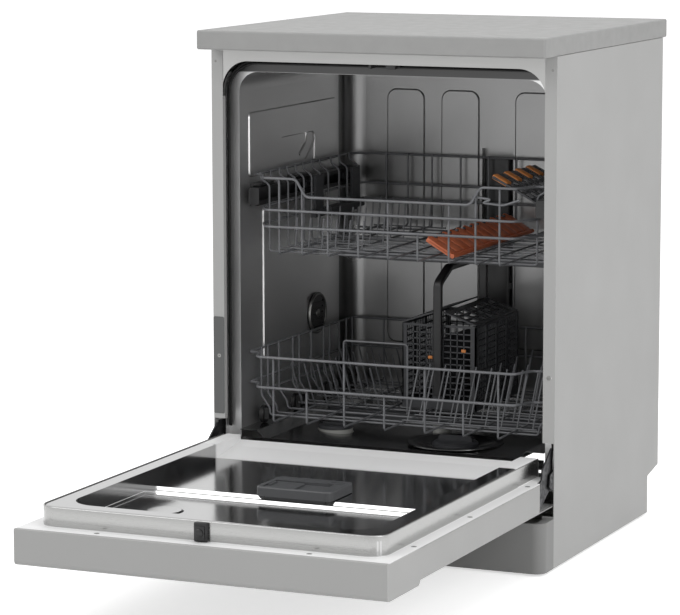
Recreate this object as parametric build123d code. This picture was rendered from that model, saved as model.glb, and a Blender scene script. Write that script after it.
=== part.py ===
"""A freestanding household dishwasher, 600 mm wide, standing with its door lowered.

The door, the two wire baskets and everything that turns or slides on them are separate pieces, so
that each can move. Both baskets are pushed in, where the door can close over them.

Lengths are millimetres. Every piece is modelled with x = 0 on the machine's middle plane, y = 0 at
the worktop's front edge and growing towards the back, and z = 0 on the floor. The finished pieces
are shifted along y once, so that the origin is the middle of the floor space of the open machine.
"""
import os
from math import atan2, copysign, cos, degrees, hypot, pi, radians, sin, tan

from build123d import *

# Outside sizes of the machine
WIDTH = 600.0
DEPTH = 605.0
HEIGHT = 850.0
DOOR_REACH = 619.0
TO_CENTRE = (DOOR_REACH - DEPTH) / 2

# Worktop and outer sheets
WORKTOP_THICKNESS = 31.0
CABINET_TOP = HEIGHT - WORKTOP_THICKNESS
SHEET = 1.0
SIDE_OUT = 299.5
SIDE_IN = SIDE_OUT - SHEET
SIDE_FRONT = 56.0
SIDE_BACK = 584.0
SIDE_BOTTOM = 4.0
FLANGE_IN = 279.5
POCKET = (88.0, 206.0)

# Tub
TUB_HALF = 269.0
TUB_CEILING = 778.0
TUB_BACK = 553.0
TUB_FRONT = 98.0
TUB_CORNER = 34.0
LEDGE = 183.0
TUB_STEP = 22.0
BACK_PAN_FRONT = 500.0
VENT = (399.0, 337.0)
DUCT = (-14.0, 36.0)
SUMP = (60.0, 235.0)
ARM_POST = (0.0, 322.0)
SALT_NECK = (-165.0, 250.0)

# Door: hinge line, and the levels of the lowered door
HINGE_Y = 49.0
HINGE_Z = 147.0
DOOR_HALF = 298.0
DOOR_TIP = -DOOR_REACH
FASCIA_BACK = -498.0
PANEL_UNDER = 102.7
FASCIA_UNDER = 97.7
LINER_TOP = 153.0
RIM_TOP = 183.0
RIM_HALF = 277.0
PAN_HALF = 246.0
PAN_FLOOR = 150.0

# Baskets, both pushed in. A wire's thickness is across its flats, and each rail is given by the
# right-hand half of its plan, from the back corner to the front, which bows out past the corners
RAIL_WIRE = 5.0
GRID_WIRE = 4.0
TINE_WIRE = 3.2
RAIL_TO_GRID = (RAIL_WIRE + GRID_WIRE) / 2
BUTT_GAP = 0.3
RAIL_BEND = 7.0
GRID_BEND = 5.0
RAIL_BACK = 540.5

# Lower basket
LOWER_PLAN = [(259.5, RAIL_BACK), (259.5, 110.5), (242.0, 110.5), (226.0, 67.5)]
LOWER_RAIL = 311.0
LOWER_MIDDLE_RAIL = 260.5
LOWER_SIDE_WIRE = 238.0
LOWER_FLOOR = 200.0
LOWER_LONG_WIRES = {0.0: LOWER_MIDDLE_RAIL, 71.0: LOWER_RAIL, 138.0: LOWER_MIDDLE_RAIL, 198.0: LOWER_RAIL}
LOWER_CROSS_WIRES = [147.0, 173.0, 217.0, 274.0, 300.0, 350.0, 403.0, 429.0, 470.0, 502.0, 528.0]
PLATE_LEAN = 30.0
WHEEL_RADIUS = 15.0
WHEEL_HEIGHT = 198.3
WHEEL_STATIONS = [160.0, 287.0, 416.0, 509.0]

# Cutlery basket
CUTLERY_X = (-52.0, 81.0)
CUTLERY_Y = (273.0, 473.0)
CUTLERY_Z = (206.2, 350.0)
CUTLERY_WALL = 2.5

# Upper basket
UPPER_PLAN = [(228.0, RAIL_BACK), (248.0, 532.0), (256.5, 512.0), (256.5, 128.5), (241.0, 128.5), (220.0, 82.5)]
UPPER_WAIST_PLAN = [(240.5, RAIL_BACK), (240.5, 128.5), (217.0, 82.5)]
UPPER_RAIL = 606.0
UPPER_DIP = [(161.0, UPPER_RAIL), (144.0, 577.0)]
UPPER_MIDDLE_RAIL = 553.5
UPPER_LOW_RAIL = 526.0
UPPER_FLOOR = 478.0
UPPER_LONG_WIRES = {0.0: 577.0, 52.0: UPPER_LOW_RAIL, 106.0: 577.0, 152.0: 590.0, 193.0: UPPER_RAIL}
UPPER_CROSS_WIRES = [142.0, 181.0, 216.0, 248.0, 280.0, 312.0, 348.0, 382.0, 428.0, 463.0, 508.0]
ROLLER_RADIUS = 11.6
ROLLER_HEIGHT = 571.0
ROLLER_STATIONS = {"front": 330.0, "rear": 486.0}
UPPER_ARM = (11.0, 317.0)
ORANGE_HINGE = (88.3, 484.4)
ORANGE_EDGE = (41.0, 512.0)
GREY_HINGE = (224.6, 562.0)
GREY_EDGE = (131.0, 610.0)


def block(x0, x1, y0, y1, z0, z1):
    """A box given by its limits along each axis."""
    centre = Pos((x0 + x1) / 2, (y0 + y1) / 2, (z0 + z1) / 2)
    return centre * Box(x1 - x0, y1 - y0, z1 - z0)


def along_x(face, x0, x1):
    """A prism whose outline is drawn in (y, z) and which runs from x0 to x1."""
    return extrude(Plane.YZ.offset(x0) * face, amount=x1 - x0)


def along_y(face, y0, y1):
    """A prism whose outline is drawn in (x, z) and which runs from y0 to y1."""
    return extrude(Plane.XZ.offset(-y1) * face, amount=y1 - y0)


def along_z(face, z0, z1):
    """A prism whose outline is drawn in (x, y) and which runs from z0 to z1."""
    return extrude(Pos(0, 0, z0) * face, amount=z1 - z0)


def outline(points):
    """A flat face through the given corners."""
    return make_face(Polyline(*points, close=True))


def rounded(width, height, radius, centre=(0, 0)):
    """A rectangle with round corners about a centre."""
    return Pos(*centre) * RectangleRounded(width, height, radius)


def arch(half_width, bottom, top, corner):
    """A doorway outline: square at the bottom and rounded at its two upper corners."""
    face = Pos(0, (bottom + top) / 2) * Rectangle(2 * half_width, top - bottom)
    return fillet(face.vertices().group_by(Axis.Y)[-1], corner)


def folded_sheet(points, thickness):
    """A face that follows a line of bends, with its thickness added downwards."""
    below = [(u, v - thickness) for u, v in reversed(points)]
    return outline(points + below)


def rod_x(radius, x0, x1, y, z):
    """A round rod lying along x."""
    return Pos((x0 + x1) / 2, y, z) * Rot(0, 90, 0) * Cylinder(radius, x1 - x0)


def rod_y(radius, y0, y1, x, z):
    """A round rod lying along y."""
    return Pos(x, (y0 + y1) / 2, z) * Rot(90, 0, 0) * Cylinder(radius, y1 - y0)


def rod_z(radius, z0, z1, x, y):
    """A round rod standing upright."""
    return Pos(x, y, (z0 + z1) / 2) * Cylinder(radius, z1 - z0)


def turned(profile, x, y):
    """A piece turned about an upright axis, from a profile drawn in (radius, z)."""
    return Pos(x, y, 0) * revolve(Plane.XZ * outline(profile), Axis.Z)


def other_side(piece):
    """The mirror image of a piece on the other side of the machine."""
    return mirror(piece, about=Plane.YZ)


def together(*pieces):
    """Several separate solids kept in one group."""
    solids = []
    for piece in pieces:
        solids.extend(piece.solids())
    return Compound(solids)


def wire(points, thickness, in_plane_of):
    """A bent wire with six sides, mitred at each bend.

    Two of its flats face along the first bend's plane, whose normal is in_plane_of, so that wires
    that cross each other meet on a flat.
    """
    corners = [Vector(*point) for point in points]
    runs = [(after - before).normalized() for before, after in zip(corners, corners[1:])]
    corner_radius = thickness / 2 / cos(pi / 6)
    start = Plane(origin=corners[0], x_dir=in_plane_of, z_dir=runs[0])
    angles = [n * pi / 3 for n in range(6)]
    ring = [start.from_local_coords(Vector(corner_radius * cos(a), corner_radius * sin(a))) for a in angles]
    rings = [ring]
    for run, next_run, corner in zip(runs, runs[1:] + runs[-1:], corners[1:]):
        mitre = run + next_run
        ring = [point + run * ((corner - point).dot(mitre) / run.dot(mitre)) for point in ring]
        rings.append(ring)
    return loft([make_face(Polyline(*ring, close=True)) for ring in rings], ruled=True)


def worktop():
    """The grey worktop: a board with softly rounded edges."""
    board = block(-WIDTH / 2, WIDTH / 2, 0, DEPTH, CABINET_TOP, HEIGHT)
    board = fillet(board.edges().filter_by(Axis.Z), 5)
    return fillet(board.faces().filter_by(Axis.Z).edges(), 3)


def side_panel():
    """The right-hand side: one steel sheet folded inwards at the front and the back."""
    shape = [
        (SIDE_FRONT, SIDE_BOTTOM),
        (528, SIDE_BOTTOM),
        (528, 68),
        (SIDE_BACK, 79),
        (SIDE_BACK, CABINET_TOP),
        (SIDE_FRONT, CABINET_TOP),
    ]
    sheet = along_x(outline(shape), SIDE_IN, SIDE_OUT)
    front = block(FLANGE_IN, SIDE_OUT, SIDE_FRONT, SIDE_FRONT + SHEET, SIDE_BOTTOM, CABINET_TOP)
    lip = block(FLANGE_IN, FLANGE_IN + SHEET, SIDE_FRONT, 66, POCKET[1], 740)
    back = block(284, SIDE_OUT, SIDE_BACK - SHEET, SIDE_BACK, 79, CABINET_TOP)
    pocket = block(270, SIDE_IN - 0.1, SIDE_FRONT - 1, SIDE_FRONT + 12, *POCKET)
    screw_holes = rod_y(2.2, 50, 60, 292, 797) + rod_y(2.2, 50, 60, 292, 311)
    return sheet + front + lip + back - pocket - screw_holes


def back_panel():
    """The sheet across the back, stiffened by two long pressed ribs."""
    sheet = block(-SIDE_IN, SIDE_IN, SIDE_BACK, SIDE_BACK + 0.8, 82, CABINET_TOP)
    outside = Plane(origin=(0, SIDE_BACK + 0.8, 450), x_dir=(-1, 0, 0), z_dir=(0, 1, 0))
    for x in (-150, 150):
        rib = Pos(x, 0) * Rot(0, 0, 90) * SlotOverall(560, 70)
        sheet += extrude(outside * rib, amount=4, taper=40)
    return sheet


def base_tray():
    """The moulded tray under the tub, with bosses for the feet and stiffening ribs."""
    tray = block(-297, 297, 60, 526, 6, 58)
    tray -= block(-294.5, 294.5, 62.5, 523.5, 8.5, 60)
    for x in (-210, -105, 105, 210):
        tray += block(x - 1.2, x + 1.2, 62.5, 523.5, 8.5, 18)
    for y in (140, 390):
        tray += block(-294.5, 294.5, y - 1.2, y + 1.2, 8.5, 18)
    for x, y in foot_places():
        tray += rod_z(13, 8, 40, x, y)
        tray -= rod_z(4.3, 5, 42, x, y)
    tray -= rod_y(10.4, 520, 530, -120, 38)
    tray -= rod_y(15.5, 520, 530, 200, 38)
    return tray


def foot_places():
    """Where the four feet stand."""
    return [(x, y) for x in (-265, 265) for y in (84, 500)]


def levelling_feet():
    """Four screwed feet, wound almost fully in."""
    feet = []
    for x, y in foot_places():
        pad = turned([(0, 0), (17, 0), (18, 1.5), (18, 4), (12, 5.5), (0, 5.5)], x, y)
        feet.append(pad + rod_z(4, 5, 46, x, y))
    return together(*feet)


def plinth():
    """The sheet that closes the base in front, bent round both corners."""
    outer = Pos(0, 31) * Rectangle(2 * SIDE_OUT, 50)
    outer = fillet(outer.vertices().group_by(Axis.Y)[0], 18)
    inner = Pos(0, 32.5) * Rectangle(2 * SIDE_OUT - 3, 50)
    inner = fillet(inner.vertices().group_by(Axis.Y)[0], 16.5)
    turn_in = Pos(0, 38) * Rectangle(2 * SIDE_OUT - 30, 52)
    turn_in = fillet(turn_in.vertices().group_by(Axis.Y)[0], 8)
    wall = along_z(outer - inner, SIDE_BOTTOM, 85)
    return wall + along_z(outer - turn_in, 83.5, 85)


def front_frame():
    """The cross member over the opening, with a rounded gusset at each corner."""
    plate = Pos(0, 780) * Rectangle(596.8, 78)
    frame = along_y(plate - arch(280, 700, 798, 45), 57, 58.2)
    for x in (-292, 292):
        frame -= rod_y(2.2, 50, 60, x, 797)
    return frame + block(-270, 270, 58.2, 70, 817.8, CABINET_TOP)


def tub_outline(grow=0.0, bottom=LEDGE):
    """The tub's inside outline seen from the front, or one larger all round."""
    return arch(TUB_HALF + grow, bottom, TUB_CEILING + grow, TUB_CORNER + grow)


def tub_wrapper():
    """Both side walls and the ceiling in one bent sheet, with the stepped mouth."""
    walls = along_y(tub_outline(SHEET) - tub_outline(), TUB_FRONT, BACK_PAN_FRONT)
    step = along_y(tub_outline(TUB_STEP, 120) - tub_outline(0, 110), TUB_FRONT - 1, TUB_FRONT)
    lip = tub_outline(TUB_STEP + SHEET, 120) - tub_outline(TUB_STEP, 110)
    tub = walls + step + along_y(lip, 85, TUB_FRONT)
    for side in (-1, 1):
        tub += wall_pressings(side)
    return tub - rod_x(29, -275, -260, *VENT)


def wall_pressings(side):
    """The raised fields of one side wall, with sloping edges."""
    upper = [(130, 600), (130, 708), (488, 708), (488, 600), (392, 600), (392, 655), (251, 655), (251, 600)]
    lower = [(183, 285), (183, 545), (360, 545), (360, 285)]
    wall = Plane(origin=(side * TUB_HALF, 0, 0), x_dir=(0, -side, 0), z_dir=(-side, 0, 0))
    fields = []
    for corners in (upper, lower):
        face = outline([(-side * y, z) for y, z in corners])
        face = fillet(face.vertices(), 10)
        fields.append(extrude(wall * face, amount=2, taper=45))
    return fields[0] + fields[1]


def tub_back():
    """The deep-drawn back of the tub, with pressed fields and a channel for the water duct."""
    inside = rounded_back(TUB_BACK, 0)
    pan = rounded_back(TUB_BACK + SHEET, SHEET) - inside
    front_face = Plane.XZ.offset(-TUB_BACK)
    for x in (-162, -59, 79, 182):
        field = rounded(72, 452, 18, (x, 495))
        pan += extrude(front_face * field, amount=2.5, taper=45)
    channel = block(DUCT[0] - 5, DUCT[1] + 5, TUB_BACK, 567, LEDGE + 3, 622)
    hollow = block(DUCT[0] - 4, DUCT[1] + 4, TUB_BACK - 5, 566, LEDGE + 4, 621)
    return pan + channel - hollow


def rounded_back(depth, grow):
    """The inside of the tub's back end, rounded towards the back wall."""
    end = along_y(tub_outline(grow), BACK_PAN_FRONT, depth)
    rim = [e for e in end.faces().sort_by(Axis.Y)[-1].edges() if e.center().Z > LEDGE + 1]
    return fillet(rim, 30 + grow)


def tub_floor():
    """The tub's floor: a wheel track along each side and a shallow gutter between them."""
    half = [(0, 156), (120, 158), (224, 168), (238, LEDGE), (TUB_HALF, LEDGE)]
    section = [(-x, z) for x, z in reversed(half[1:])] + half
    floor = along_y(folded_sheet(section, 1.2), 92, TUB_BACK)
    edge = Pos(0, 163) * Rectangle(2 * TUB_HALF, 16)
    floor += along_y(edge, 90.8, 92)
    end = [(-238, LEDGE), (-224, 166.8), (-120, 156.8), (0, 154.8), (120, 156.8), (224, 166.8), (238, LEDGE)]
    floor += along_y(outline(end), TUB_BACK, TUB_BACK + 1.2)
    floor -= rod_z(72, 150, 175, *SUMP)
    floor -= rod_z(16, 150, 175, *ARM_POST)
    return floor - rod_z(31, 150, 190, *SALT_NECK)


def tub_gasket():
    """The rubber seal round the mouth of the tub, with a bulb along its front."""
    body = arch(290.5, 186, 799.5, 55) - arch(268, 180, 775, 33)
    bulb = arch(283, 186, 791, 48) - arch(270, 180, 778, 35)
    return along_y(body, 88, 97) + along_y(bulb, 85.3, 88)


def latch_catch():
    """The catch under the worktop that the door latch hooks on to."""
    catch = block(-20, 22, 59, 84, 799, 806) - block(-10, 12, 65, 78, 798, 807)
    return catch + block(-24, 26, 59, 84, 806, 817)


def sump():
    """The moulded sump cup, its channel and the post that the lower spray arm turns on."""
    cup = turned([(0, 92), (55, 92), (66, 108), (69, 148), (84, 148), (84, 152), (66, 152),
                  (63, 110), (52, 95), (0, 95)], *SUMP)
    run = (ARM_POST[0] - SUMP[0], ARM_POST[1] - SUMP[1])
    channel = Pos(SUMP[0] + run[0] / 2, SUMP[1] + run[1] / 2) * Rot(0, 0, degrees(atan2(run[1], run[0])))
    duct = along_z(channel * Rectangle(hypot(*run), 26), 96, 122) - rod_z(60, 90, 130, *SUMP)
    post = turned([(10, 100), (15, 100), (15, 172), (8, 174), (8, 187), (5.5, 187), (5.5, 172), (10, 168)],
                  *ARM_POST)
    return cup + duct - rod_z(12, 90, 160, *ARM_POST) + post


def filter_plate():
    """The dished fine filter round the coarse filter."""
    return turned([(40, 153), (68, 160.5), (80, 160.5), (80, 162), (67.5, 162), (40, 154.6)], *SUMP)


def coarse_filter():
    """The filter cartridge that twists out, with its grip across the top."""
    cartridge = turned([(0, 104), (30, 104), (36, 110), (36, 150), (38.5, 152), (38.5, 160), (34, 163),
                        (0, 163)], *SUMP)
    for n in range(8):
        rib = block(35.5, 37.5, -1.5, 1.5, 112, 148)
        cartridge += Pos(*SUMP, 0) * Rot(0, 0, 45 * n) * rib
    grip = block(SUMP[0] - 30, SUMP[0] + 30, SUMP[1] - 3, SUMP[1] + 3, 162, 172)
    return cartridge + fillet(grip.edges().filter_by(Axis.Y).group_by(Axis.Z)[-1], 6)


def circulation_pump():
    """The wash pump: its motor, its impeller housing and the outlet towards the duct."""
    motor = rod_x(34, -70, 20, 430, 78)
    housing = rod_x(44, 20, 58, 430, 78)
    motor = fillet(motor.faces().sort_by(Axis.X)[0].edges(), 5)
    housing = fillet(housing.faces().sort_by(Axis.X)[-1].edges(), 8)
    return motor + housing + rod_z(14, 110, 145, 38, 430)


def drain_pump():
    """The drain pump with its outlet stub for the waste hose."""
    body = rod_y(24, 452, 500, -120, 42)
    body += block(-146, -94, 440, 456, 20, 68)
    return body + rod_y(9.5, 500, 555, -120, 38) - rod_y(7, 505, 556, -120, 38)


def water_softener():
    """The salt container of the water softener, with its neck into the tub."""
    tank = block(-262, -108, 160, 330, 26, 142)
    tank = fillet(tank.edges().filter_by(Axis.Z), 18)
    tank = fillet(tank.faces().sort_by(Axis.Z)[-1].edges(), 6)
    neck = rod_z(29.5, 140, 166, *SALT_NECK) - rod_z(24.6, 150, 170, *SALT_NECK)
    return tank - rod_z(24.6, 135, 170, *SALT_NECK) + neck


def salt_cap():
    """The screw cap of the salt container, with a grip bar."""
    cap = turned([(0, 152), (24, 152), (24, 166.4), (29, 166.4), (29, 170), (27, 172), (0, 172)], *SALT_NECK)
    grip = block(SALT_NECK[0] - 22, SALT_NECK[0] + 22, SALT_NECK[1] - 3, SALT_NECK[1] + 3, 171, 175.5)
    return cap + grip


def inlet_valve():
    """The fill valve with its outlet for the supply hose."""
    body = fillet(block(178, 222, 470, 516, 19, 70).edges().filter_by(Axis.Z), 5)
    coil = rod_z(15, 68, 96, 200, 490)
    stub = rod_y(13.2, 514, 560, 200, 38) - rod_y(9.5, 525, 561, 200, 38)
    return body + coil + stub


def steam_vent():
    """The round vent in the left wall, with its slotted grille."""
    neck = rod_x(27, -276, -267, *VENT)
    grille = rod_x(36, TUB_HALF * -1 + 0.1, -264, *VENT)
    grille = fillet(grille.faces().sort_by(Axis.X)[-1].edges(), 2)
    for n in range(-2, 3):
        grille -= block(-266, -260, VENT[0] - 22, VENT[0] + 22, VENT[1] + 10 * n - 2, VENT[1] + 10 * n + 2)
    return neck + grille


def air_break_chamber():
    """The flat moulded chamber between the left tub wall and the side panel."""
    chamber = along_x(rounded(290, 380, 30, (340, 430)), -296, -278)
    for y in (245, 310, 375, 440):
        chamber -= block(-297, -292, y - 20, y + 20, 270, 590)
    return chamber + rod_x(33, -278, -276.2, *VENT)


def water_duct():
    """The flat duct up the tub's back wall, with the socket that the upper basket docks to."""
    centre = (DUCT[0] + DUCT[1]) / 2
    duct = block(*DUCT, 549, 565.5, 206, 606)
    duct = fillet(duct.edges().filter_by(Axis.Z).group_by(Axis.Y)[0], 7)
    duct = fillet(duct.faces().sort_by(Axis.Z)[-1].edges(), 2)
    clip = block(DUCT[0] - 3, DUCT[1] + 3, 551, 565.5, 376, 386)
    socket = rod_y(13, 547.5, 552, centre, 470.5) - rod_y(9, 545, 556, centre, 470.5)
    return duct + clip - rod_y(9, 545, 556, centre, 470.5) + socket


def rail_brackets():
    """Four clips on the tub's side walls that carry the upper guide rails."""
    clips = []
    for y in (134, 284):
        clip = block(262.6, 268.8, y, y + 52, 552, 590)
        clip += block(249, 268.8, y, y + 52, 586.4, 590)
        clip += block(257, 268.8, y, y + 52, 552, 555.6)
        clips.extend((clip, other_side(clip)))
    return together(*clips)


def hinge_brackets():
    """A steel plate with a fixed pin at each side, on which the door's hinge arms turn."""
    shape = [(38, 140), (44, 134), (58, 132), (110, 120), (110, 200), (70, 200), (58, 164), (42, 158)]
    plate = along_x(outline(shape), 296.2, 298.4)
    right = plate + rod_x(4, 291.6, 298.4, HINGE_Y, HINGE_Z)
    return together(right, other_side(right))


def spring_sleeves():
    """The sleeves of the two door springs, low down beside the tub."""
    sleeve = rod_y(8, 130, 300, 284.5, 84) - rod_y(6.5, 129, 296, 284.5, 84)
    sleeve += block(278, 292, 292, 304, 60, 92)
    return together(sleeve, other_side(sleeve))


def cable_cover():
    """The dark strip over the cable opening in the left front flange."""
    strip = block(-299.3, -279.7, 55.5, SIDE_FRONT, 214, 376)
    return fillet(strip.edges().filter_by(Axis.Y), 3)


def arm_blade(length, root, tip):
    """The outline of one arm of a spray arm: swept back a little and round at its end."""
    edge = Spline((0, root / 2), (length * 0.5, root * 0.62), (length - tip / 2, tip / 2 - 4))
    nose = ThreePointArc((length - tip / 2, tip / 2 - 4), (length, -4), (length - tip / 2, -tip / 2 - 4))
    return_edge = Spline((length - tip / 2, -tip / 2 - 4), (length * 0.5, -root * 0.42), (0, -root / 2))
    return make_face(Curve() + [edge, nose, return_edge, Line((0, -root / 2), (0, root / 2))])


def spray_arm(centre, length, z0, z1, hub_radius, bore, hub_z):
    """A two-armed rotor with a hub and a row of jet slots along each arm."""
    blade = along_z(arm_blade(length, 44, 30), z0, z1)
    arm = blade + Rot(0, 0, 180) * blade + rod_z(hub_radius, z0, z1, 0, 0)
    arm = fillet(arm.faces().sort_by(Axis.Z)[-1].edges(), 3)
    arm += rod_z(hub_radius - 4, *hub_z, 0, 0)
    for side in (0, 180):
        for n in range(5):
            slot = Pos(70 + 28 * n, 4 - 2 * n, z1) * Rot(0, 0, 20) * Box(3, 12, 4)
            arm -= Rot(0, 0, side) * slot
    if bore:
        arm -= rod_z(bore, hub_z[0] - 1, z1 - 3, 0, 0)
    return Pos(*centre, 0) * arm


def lower_spray_arm():
    """The spray arm over the tub floor, turning on its post."""
    return spray_arm(ARM_POST, 212, 178, 191, 26, 8.06, (175, 179))


def door_outer_panel():
    """The door's outer sheet, folded up along both sides, cut back beside the hinges."""
    inner_z = PANEL_UNDER + SHEET
    skin = Pos(0, (PANEL_UNDER + 151) / 2) * Rectangle(2 * DOOR_HALF, 151 - PANEL_UNDER)
    skin = fillet(skin.vertices().group_by(Axis.Y)[0], 5)
    room = Pos(0, (inner_z + 155) / 2) * Rectangle(2 * DOOR_HALF - 2 * SHEET, 155 - inner_z)
    room = fillet(room.vertices().group_by(Axis.Y)[0], 4)
    panel = along_y(skin - room, FASCIA_BACK, 78)
    for side in (-1, 1):
        inner, outer = sorted((side * 280, side * (DOOR_HALF - 0.2)))
        panel += block(inner, outer, FASCIA_BACK, -10, 150, 151)
        inner, outer = sorted((side * 291, side * 300))
        panel -= block(inner, outer, -5, 90, 106, 160)
    return panel


def door_liner():
    """The polished inner side of the door: a raised rim round a shallow pan."""
    flange = block(-DOOR_HALF, DOOR_HALF, DOOR_TIP + 7, 46, LINER_TOP - 1.2, LINER_TOP)
    for side in (-1, 1):
        inner, outer = sorted((side * 291, side * 300))
        flange -= block(inner, outer, -5, 50, 150, 155)
    rim = rim_solid(RIM_HALF, -587, LINER_TOP, RIM_TOP, 28, 8)
    rim_room = rim_solid(RIM_HALF - 1.2, -585.8, LINER_TOP - 5, RIM_TOP - 1.2, 27, 7)
    pan = rim_solid(PAN_HALF, -556, PAN_FLOOR - 4, RIM_TOP + 5, 45, 0)
    pan_wall = rim_solid(PAN_HALF + 1.2, -557.2, PAN_FLOOR - 1.2, RIM_TOP - 1, 46, 0)
    liner = flange - rim_room + (rim - rim_room) + (pan_wall - pan) - pan
    liner += pan_floor() & pan_wall
    liner -= block(-45, 58, -292, -218, 140, 165)
    liner -= along_x(outline([(-6, 149), (40, 149), (40, 184), (8, 184)]), 291.5, 297)
    return liner


def rim_solid(half_width, front, bottom, top, corner, edge):
    """A slab open to the tub, rounded at its two front corners and along its upper edge."""
    back = 46.0
    face = Pos(0, (front + back) / 2) * Rectangle(2 * half_width, back - front)
    face = fillet(face.vertices().group_by(Axis.Y)[0], corner)
    slab = along_z(face, bottom, top)
    if edge:
        upper = [e for e in slab.faces().sort_by(Axis.Z)[-1].edges() if e.center().Y < back - 1]
        slab = fillet(upper, edge)
    return slab


def pan_floor():
    """The floor of the door pan: low in front, a double step, then a ramp up to the tub."""
    line = [(-560, PAN_FLOOR), (-302, PAN_FLOOR), (-299, 155), (-292, 155), (-289, 160),
            (-50, 160), (20, 169), (46, 175)]
    floor = along_x(folded_sheet(line, 1.2), -PAN_HALF - 1.2, PAN_HALF + 1.2)
    dimple = Pos(-157, -408, PAN_FLOOR - 0.6) * Cone(31, 26, 2.4, align=(Align.CENTER, Align.CENTER, Align.MIN))
    return floor + dimple


def control_fascia():
    """The moulded control panel along the door's top edge, with a recessed grip underneath."""
    skin = Pos(-558.5, (FASCIA_UNDER + 151.6) / 2) * Rectangle(121, 151.6 - FASCIA_UNDER)
    skin = fillet(skin.vertices().group_by(Axis.Y)[0], 8)
    shell = along_x(skin, -DOOR_HALF, DOOR_HALF)
    shell -= block(-DOOR_HALF + 2.5, DOOR_HALF - 2.5, DOOR_TIP + 2.5, FASCIA_BACK - 2.5, FASCIA_UNDER + 2.5, 160)
    grip_room = rounded(240, 40, 12, (0, -530))
    shell += along_z(rounded(245, 45, 14, (0, -530)), FASCIA_UNDER + 1, 126)
    shell -= along_z(grip_room, FASCIA_UNDER - 1, 123.5)
    for x, radius in button_places().values():
        shell -= rod_z(radius + 0.5, 90, 105, x, -560)
    shell -= block(-PAN_HALF - 6, PAN_HALF + 6, FASCIA_BACK - 6, FASCIA_BACK + 1, 147, 160)
    lip = block(-DOOR_HALF, DOOR_HALF, DOOR_TIP, DOOR_TIP + 6.8, 150, LINER_TOP)
    return shell + fillet(lip.edges().filter_by(Axis.X).group_by(Axis.Z)[-1], 1.5)


def button_places():
    """The x position and radius of each push button on the fascia."""
    return {"power": (-250, 9), "programme": (150, 7), "start": (250, 9)}


def push_button(name):
    """One push button, standing a little proud of the fascia, with its stem inside."""
    x, radius = button_places()[name]
    return turned([(0, 96.2), (radius - 1, 96.2), (radius, 97.2), (radius, 106), (3, 106), (3, 112), (0, 112)],
                  x, -560)


def door_latch():
    """The black latch in the front face of the rim."""
    body = block(-16, 6, -600, -587.2, LINER_TOP, 182)
    body = fillet(body.edges().filter_by(Axis.X).group_by(Axis.Z)[-1], 3)
    return body - block(-9, -1, -601, -592, 160, 174)


def dispenser_body():
    """The moulded detergent dispenser set into the door pan."""
    housing = along_z(rounded(127, 90, 10, (6.5, -255)), 161.4, 176)
    housing = fillet(housing.faces().sort_by(Axis.Z)[-1].edges(), 2.5)
    housing += block(-44, 57, -291, -219, 140, 162)
    housing -= block(-48, 50, -294, -240, 171.5, 180)
    housing -= along_z(rounded(44, 40, 6, (-22, -267)), 150, 180)
    return housing - rod_z(13.6, 160, 180, 48, -228)


def dispenser_lid():
    """The sliding lid over the detergent chamber."""
    lid = along_z(rounded(50, 48, 5, (-22, -267)), 171.8, 174.4)
    return lid + block(-44, -40, -280, -254, 174, 177)


def rinse_aid_cap():
    """The round cap of the rinse-aid filler, with a finger slot."""
    cap = rod_z(13, 160.4, 176.6, 48, -228)
    return cap - block(38, 58, -229.5, -226.5, 173, 178)


def hinge_arms():
    """The door's two flat hinge arms, hooked at the end where the springs pull."""
    shape = [(-120, 112), (-120, 140), (-4, 147), (12, 156), (16, 171), (43, 190), (56, 199), (64, 195),
             (60, 178), (60, 148), (54, 136), (34, 126), (10, 112)]
    arm = along_x(outline(shape), 292.5, 295) - rod_x(4.06, 290, 298, HINGE_Y, HINGE_Z)
    return together(arm, other_side(arm))


def door_seal():
    """The rubber strip along the lower end of the door."""
    return along_x(outline([(46, 155), (50, 155), (54, 160), (52, 166), (46, 168)]), -262, 262)


def bent(corners, radius):
    """A course through some corners, with each of them rounded off in two straight steps."""
    corners = [Vector(*corner) for corner in corners]
    course = [corners[0]]
    for before, corner, after in zip(corners, corners[1:], corners[2:]):
        way_in = (corner - before).normalized()
        way_out = (after - corner).normalized()
        turn = radians(way_in.get_angle(way_out))
        start = corner - way_in * radius * tan(turn / 2)
        towards_centre = (way_out - way_in * cos(turn)).normalized()
        for angle in (0, turn / 2, turn):
            course.append(start + (towards_centre * (1 - cos(angle)) + way_in * sin(angle)) * radius)
    return course + [corners[-1]]


def basket_rail(plan, height, dip=()):
    """A rail wire round a basket, whose ends meet with a hair's gap at the middle of its back.

    plan is the right-hand half of its course as (x, y) points, and dip gives (x, z) points where it
    runs lower across the front.
    """
    right = [(BUTT_GAP / 2, RAIL_BACK, height)]
    right += [(x, y, height) for x, y in plan]
    right += [(x, plan[-1][1], z) for x, z in dip]
    left = [(-x, y, z) for x, y, z in reversed(right)]
    return wire(bent(right + left, RAIL_BEND), RAIL_WIRE, (0, 0, 1))


def lengthwise_wire(x, front_rail, floor, front_top, back_top):
    """A wire down the basket's front, back under its floor and up at the rear."""
    front = front_rail + RAIL_TO_GRID
    back = RAIL_BACK - RAIL_TO_GRID
    z = floor + GRID_WIRE
    corners = [(x, front, front_top), (x, front, z), (x, back, z), (x, back, back_top)]
    return wire(bent(corners, GRID_BEND), GRID_WIRE, (1, 0, 0))


def lengthwise_wires(front_tops, front_rail, floor, back_top):
    """The middle wire and its neighbours in pairs, each with its own height at the front."""
    wires = []
    for x, front_top in front_tops.items():
        for place in sorted({x, -x}):
            wires.append(lengthwise_wire(place, front_rail, floor, front_top + 2, back_top + 2))
    return wires


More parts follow.
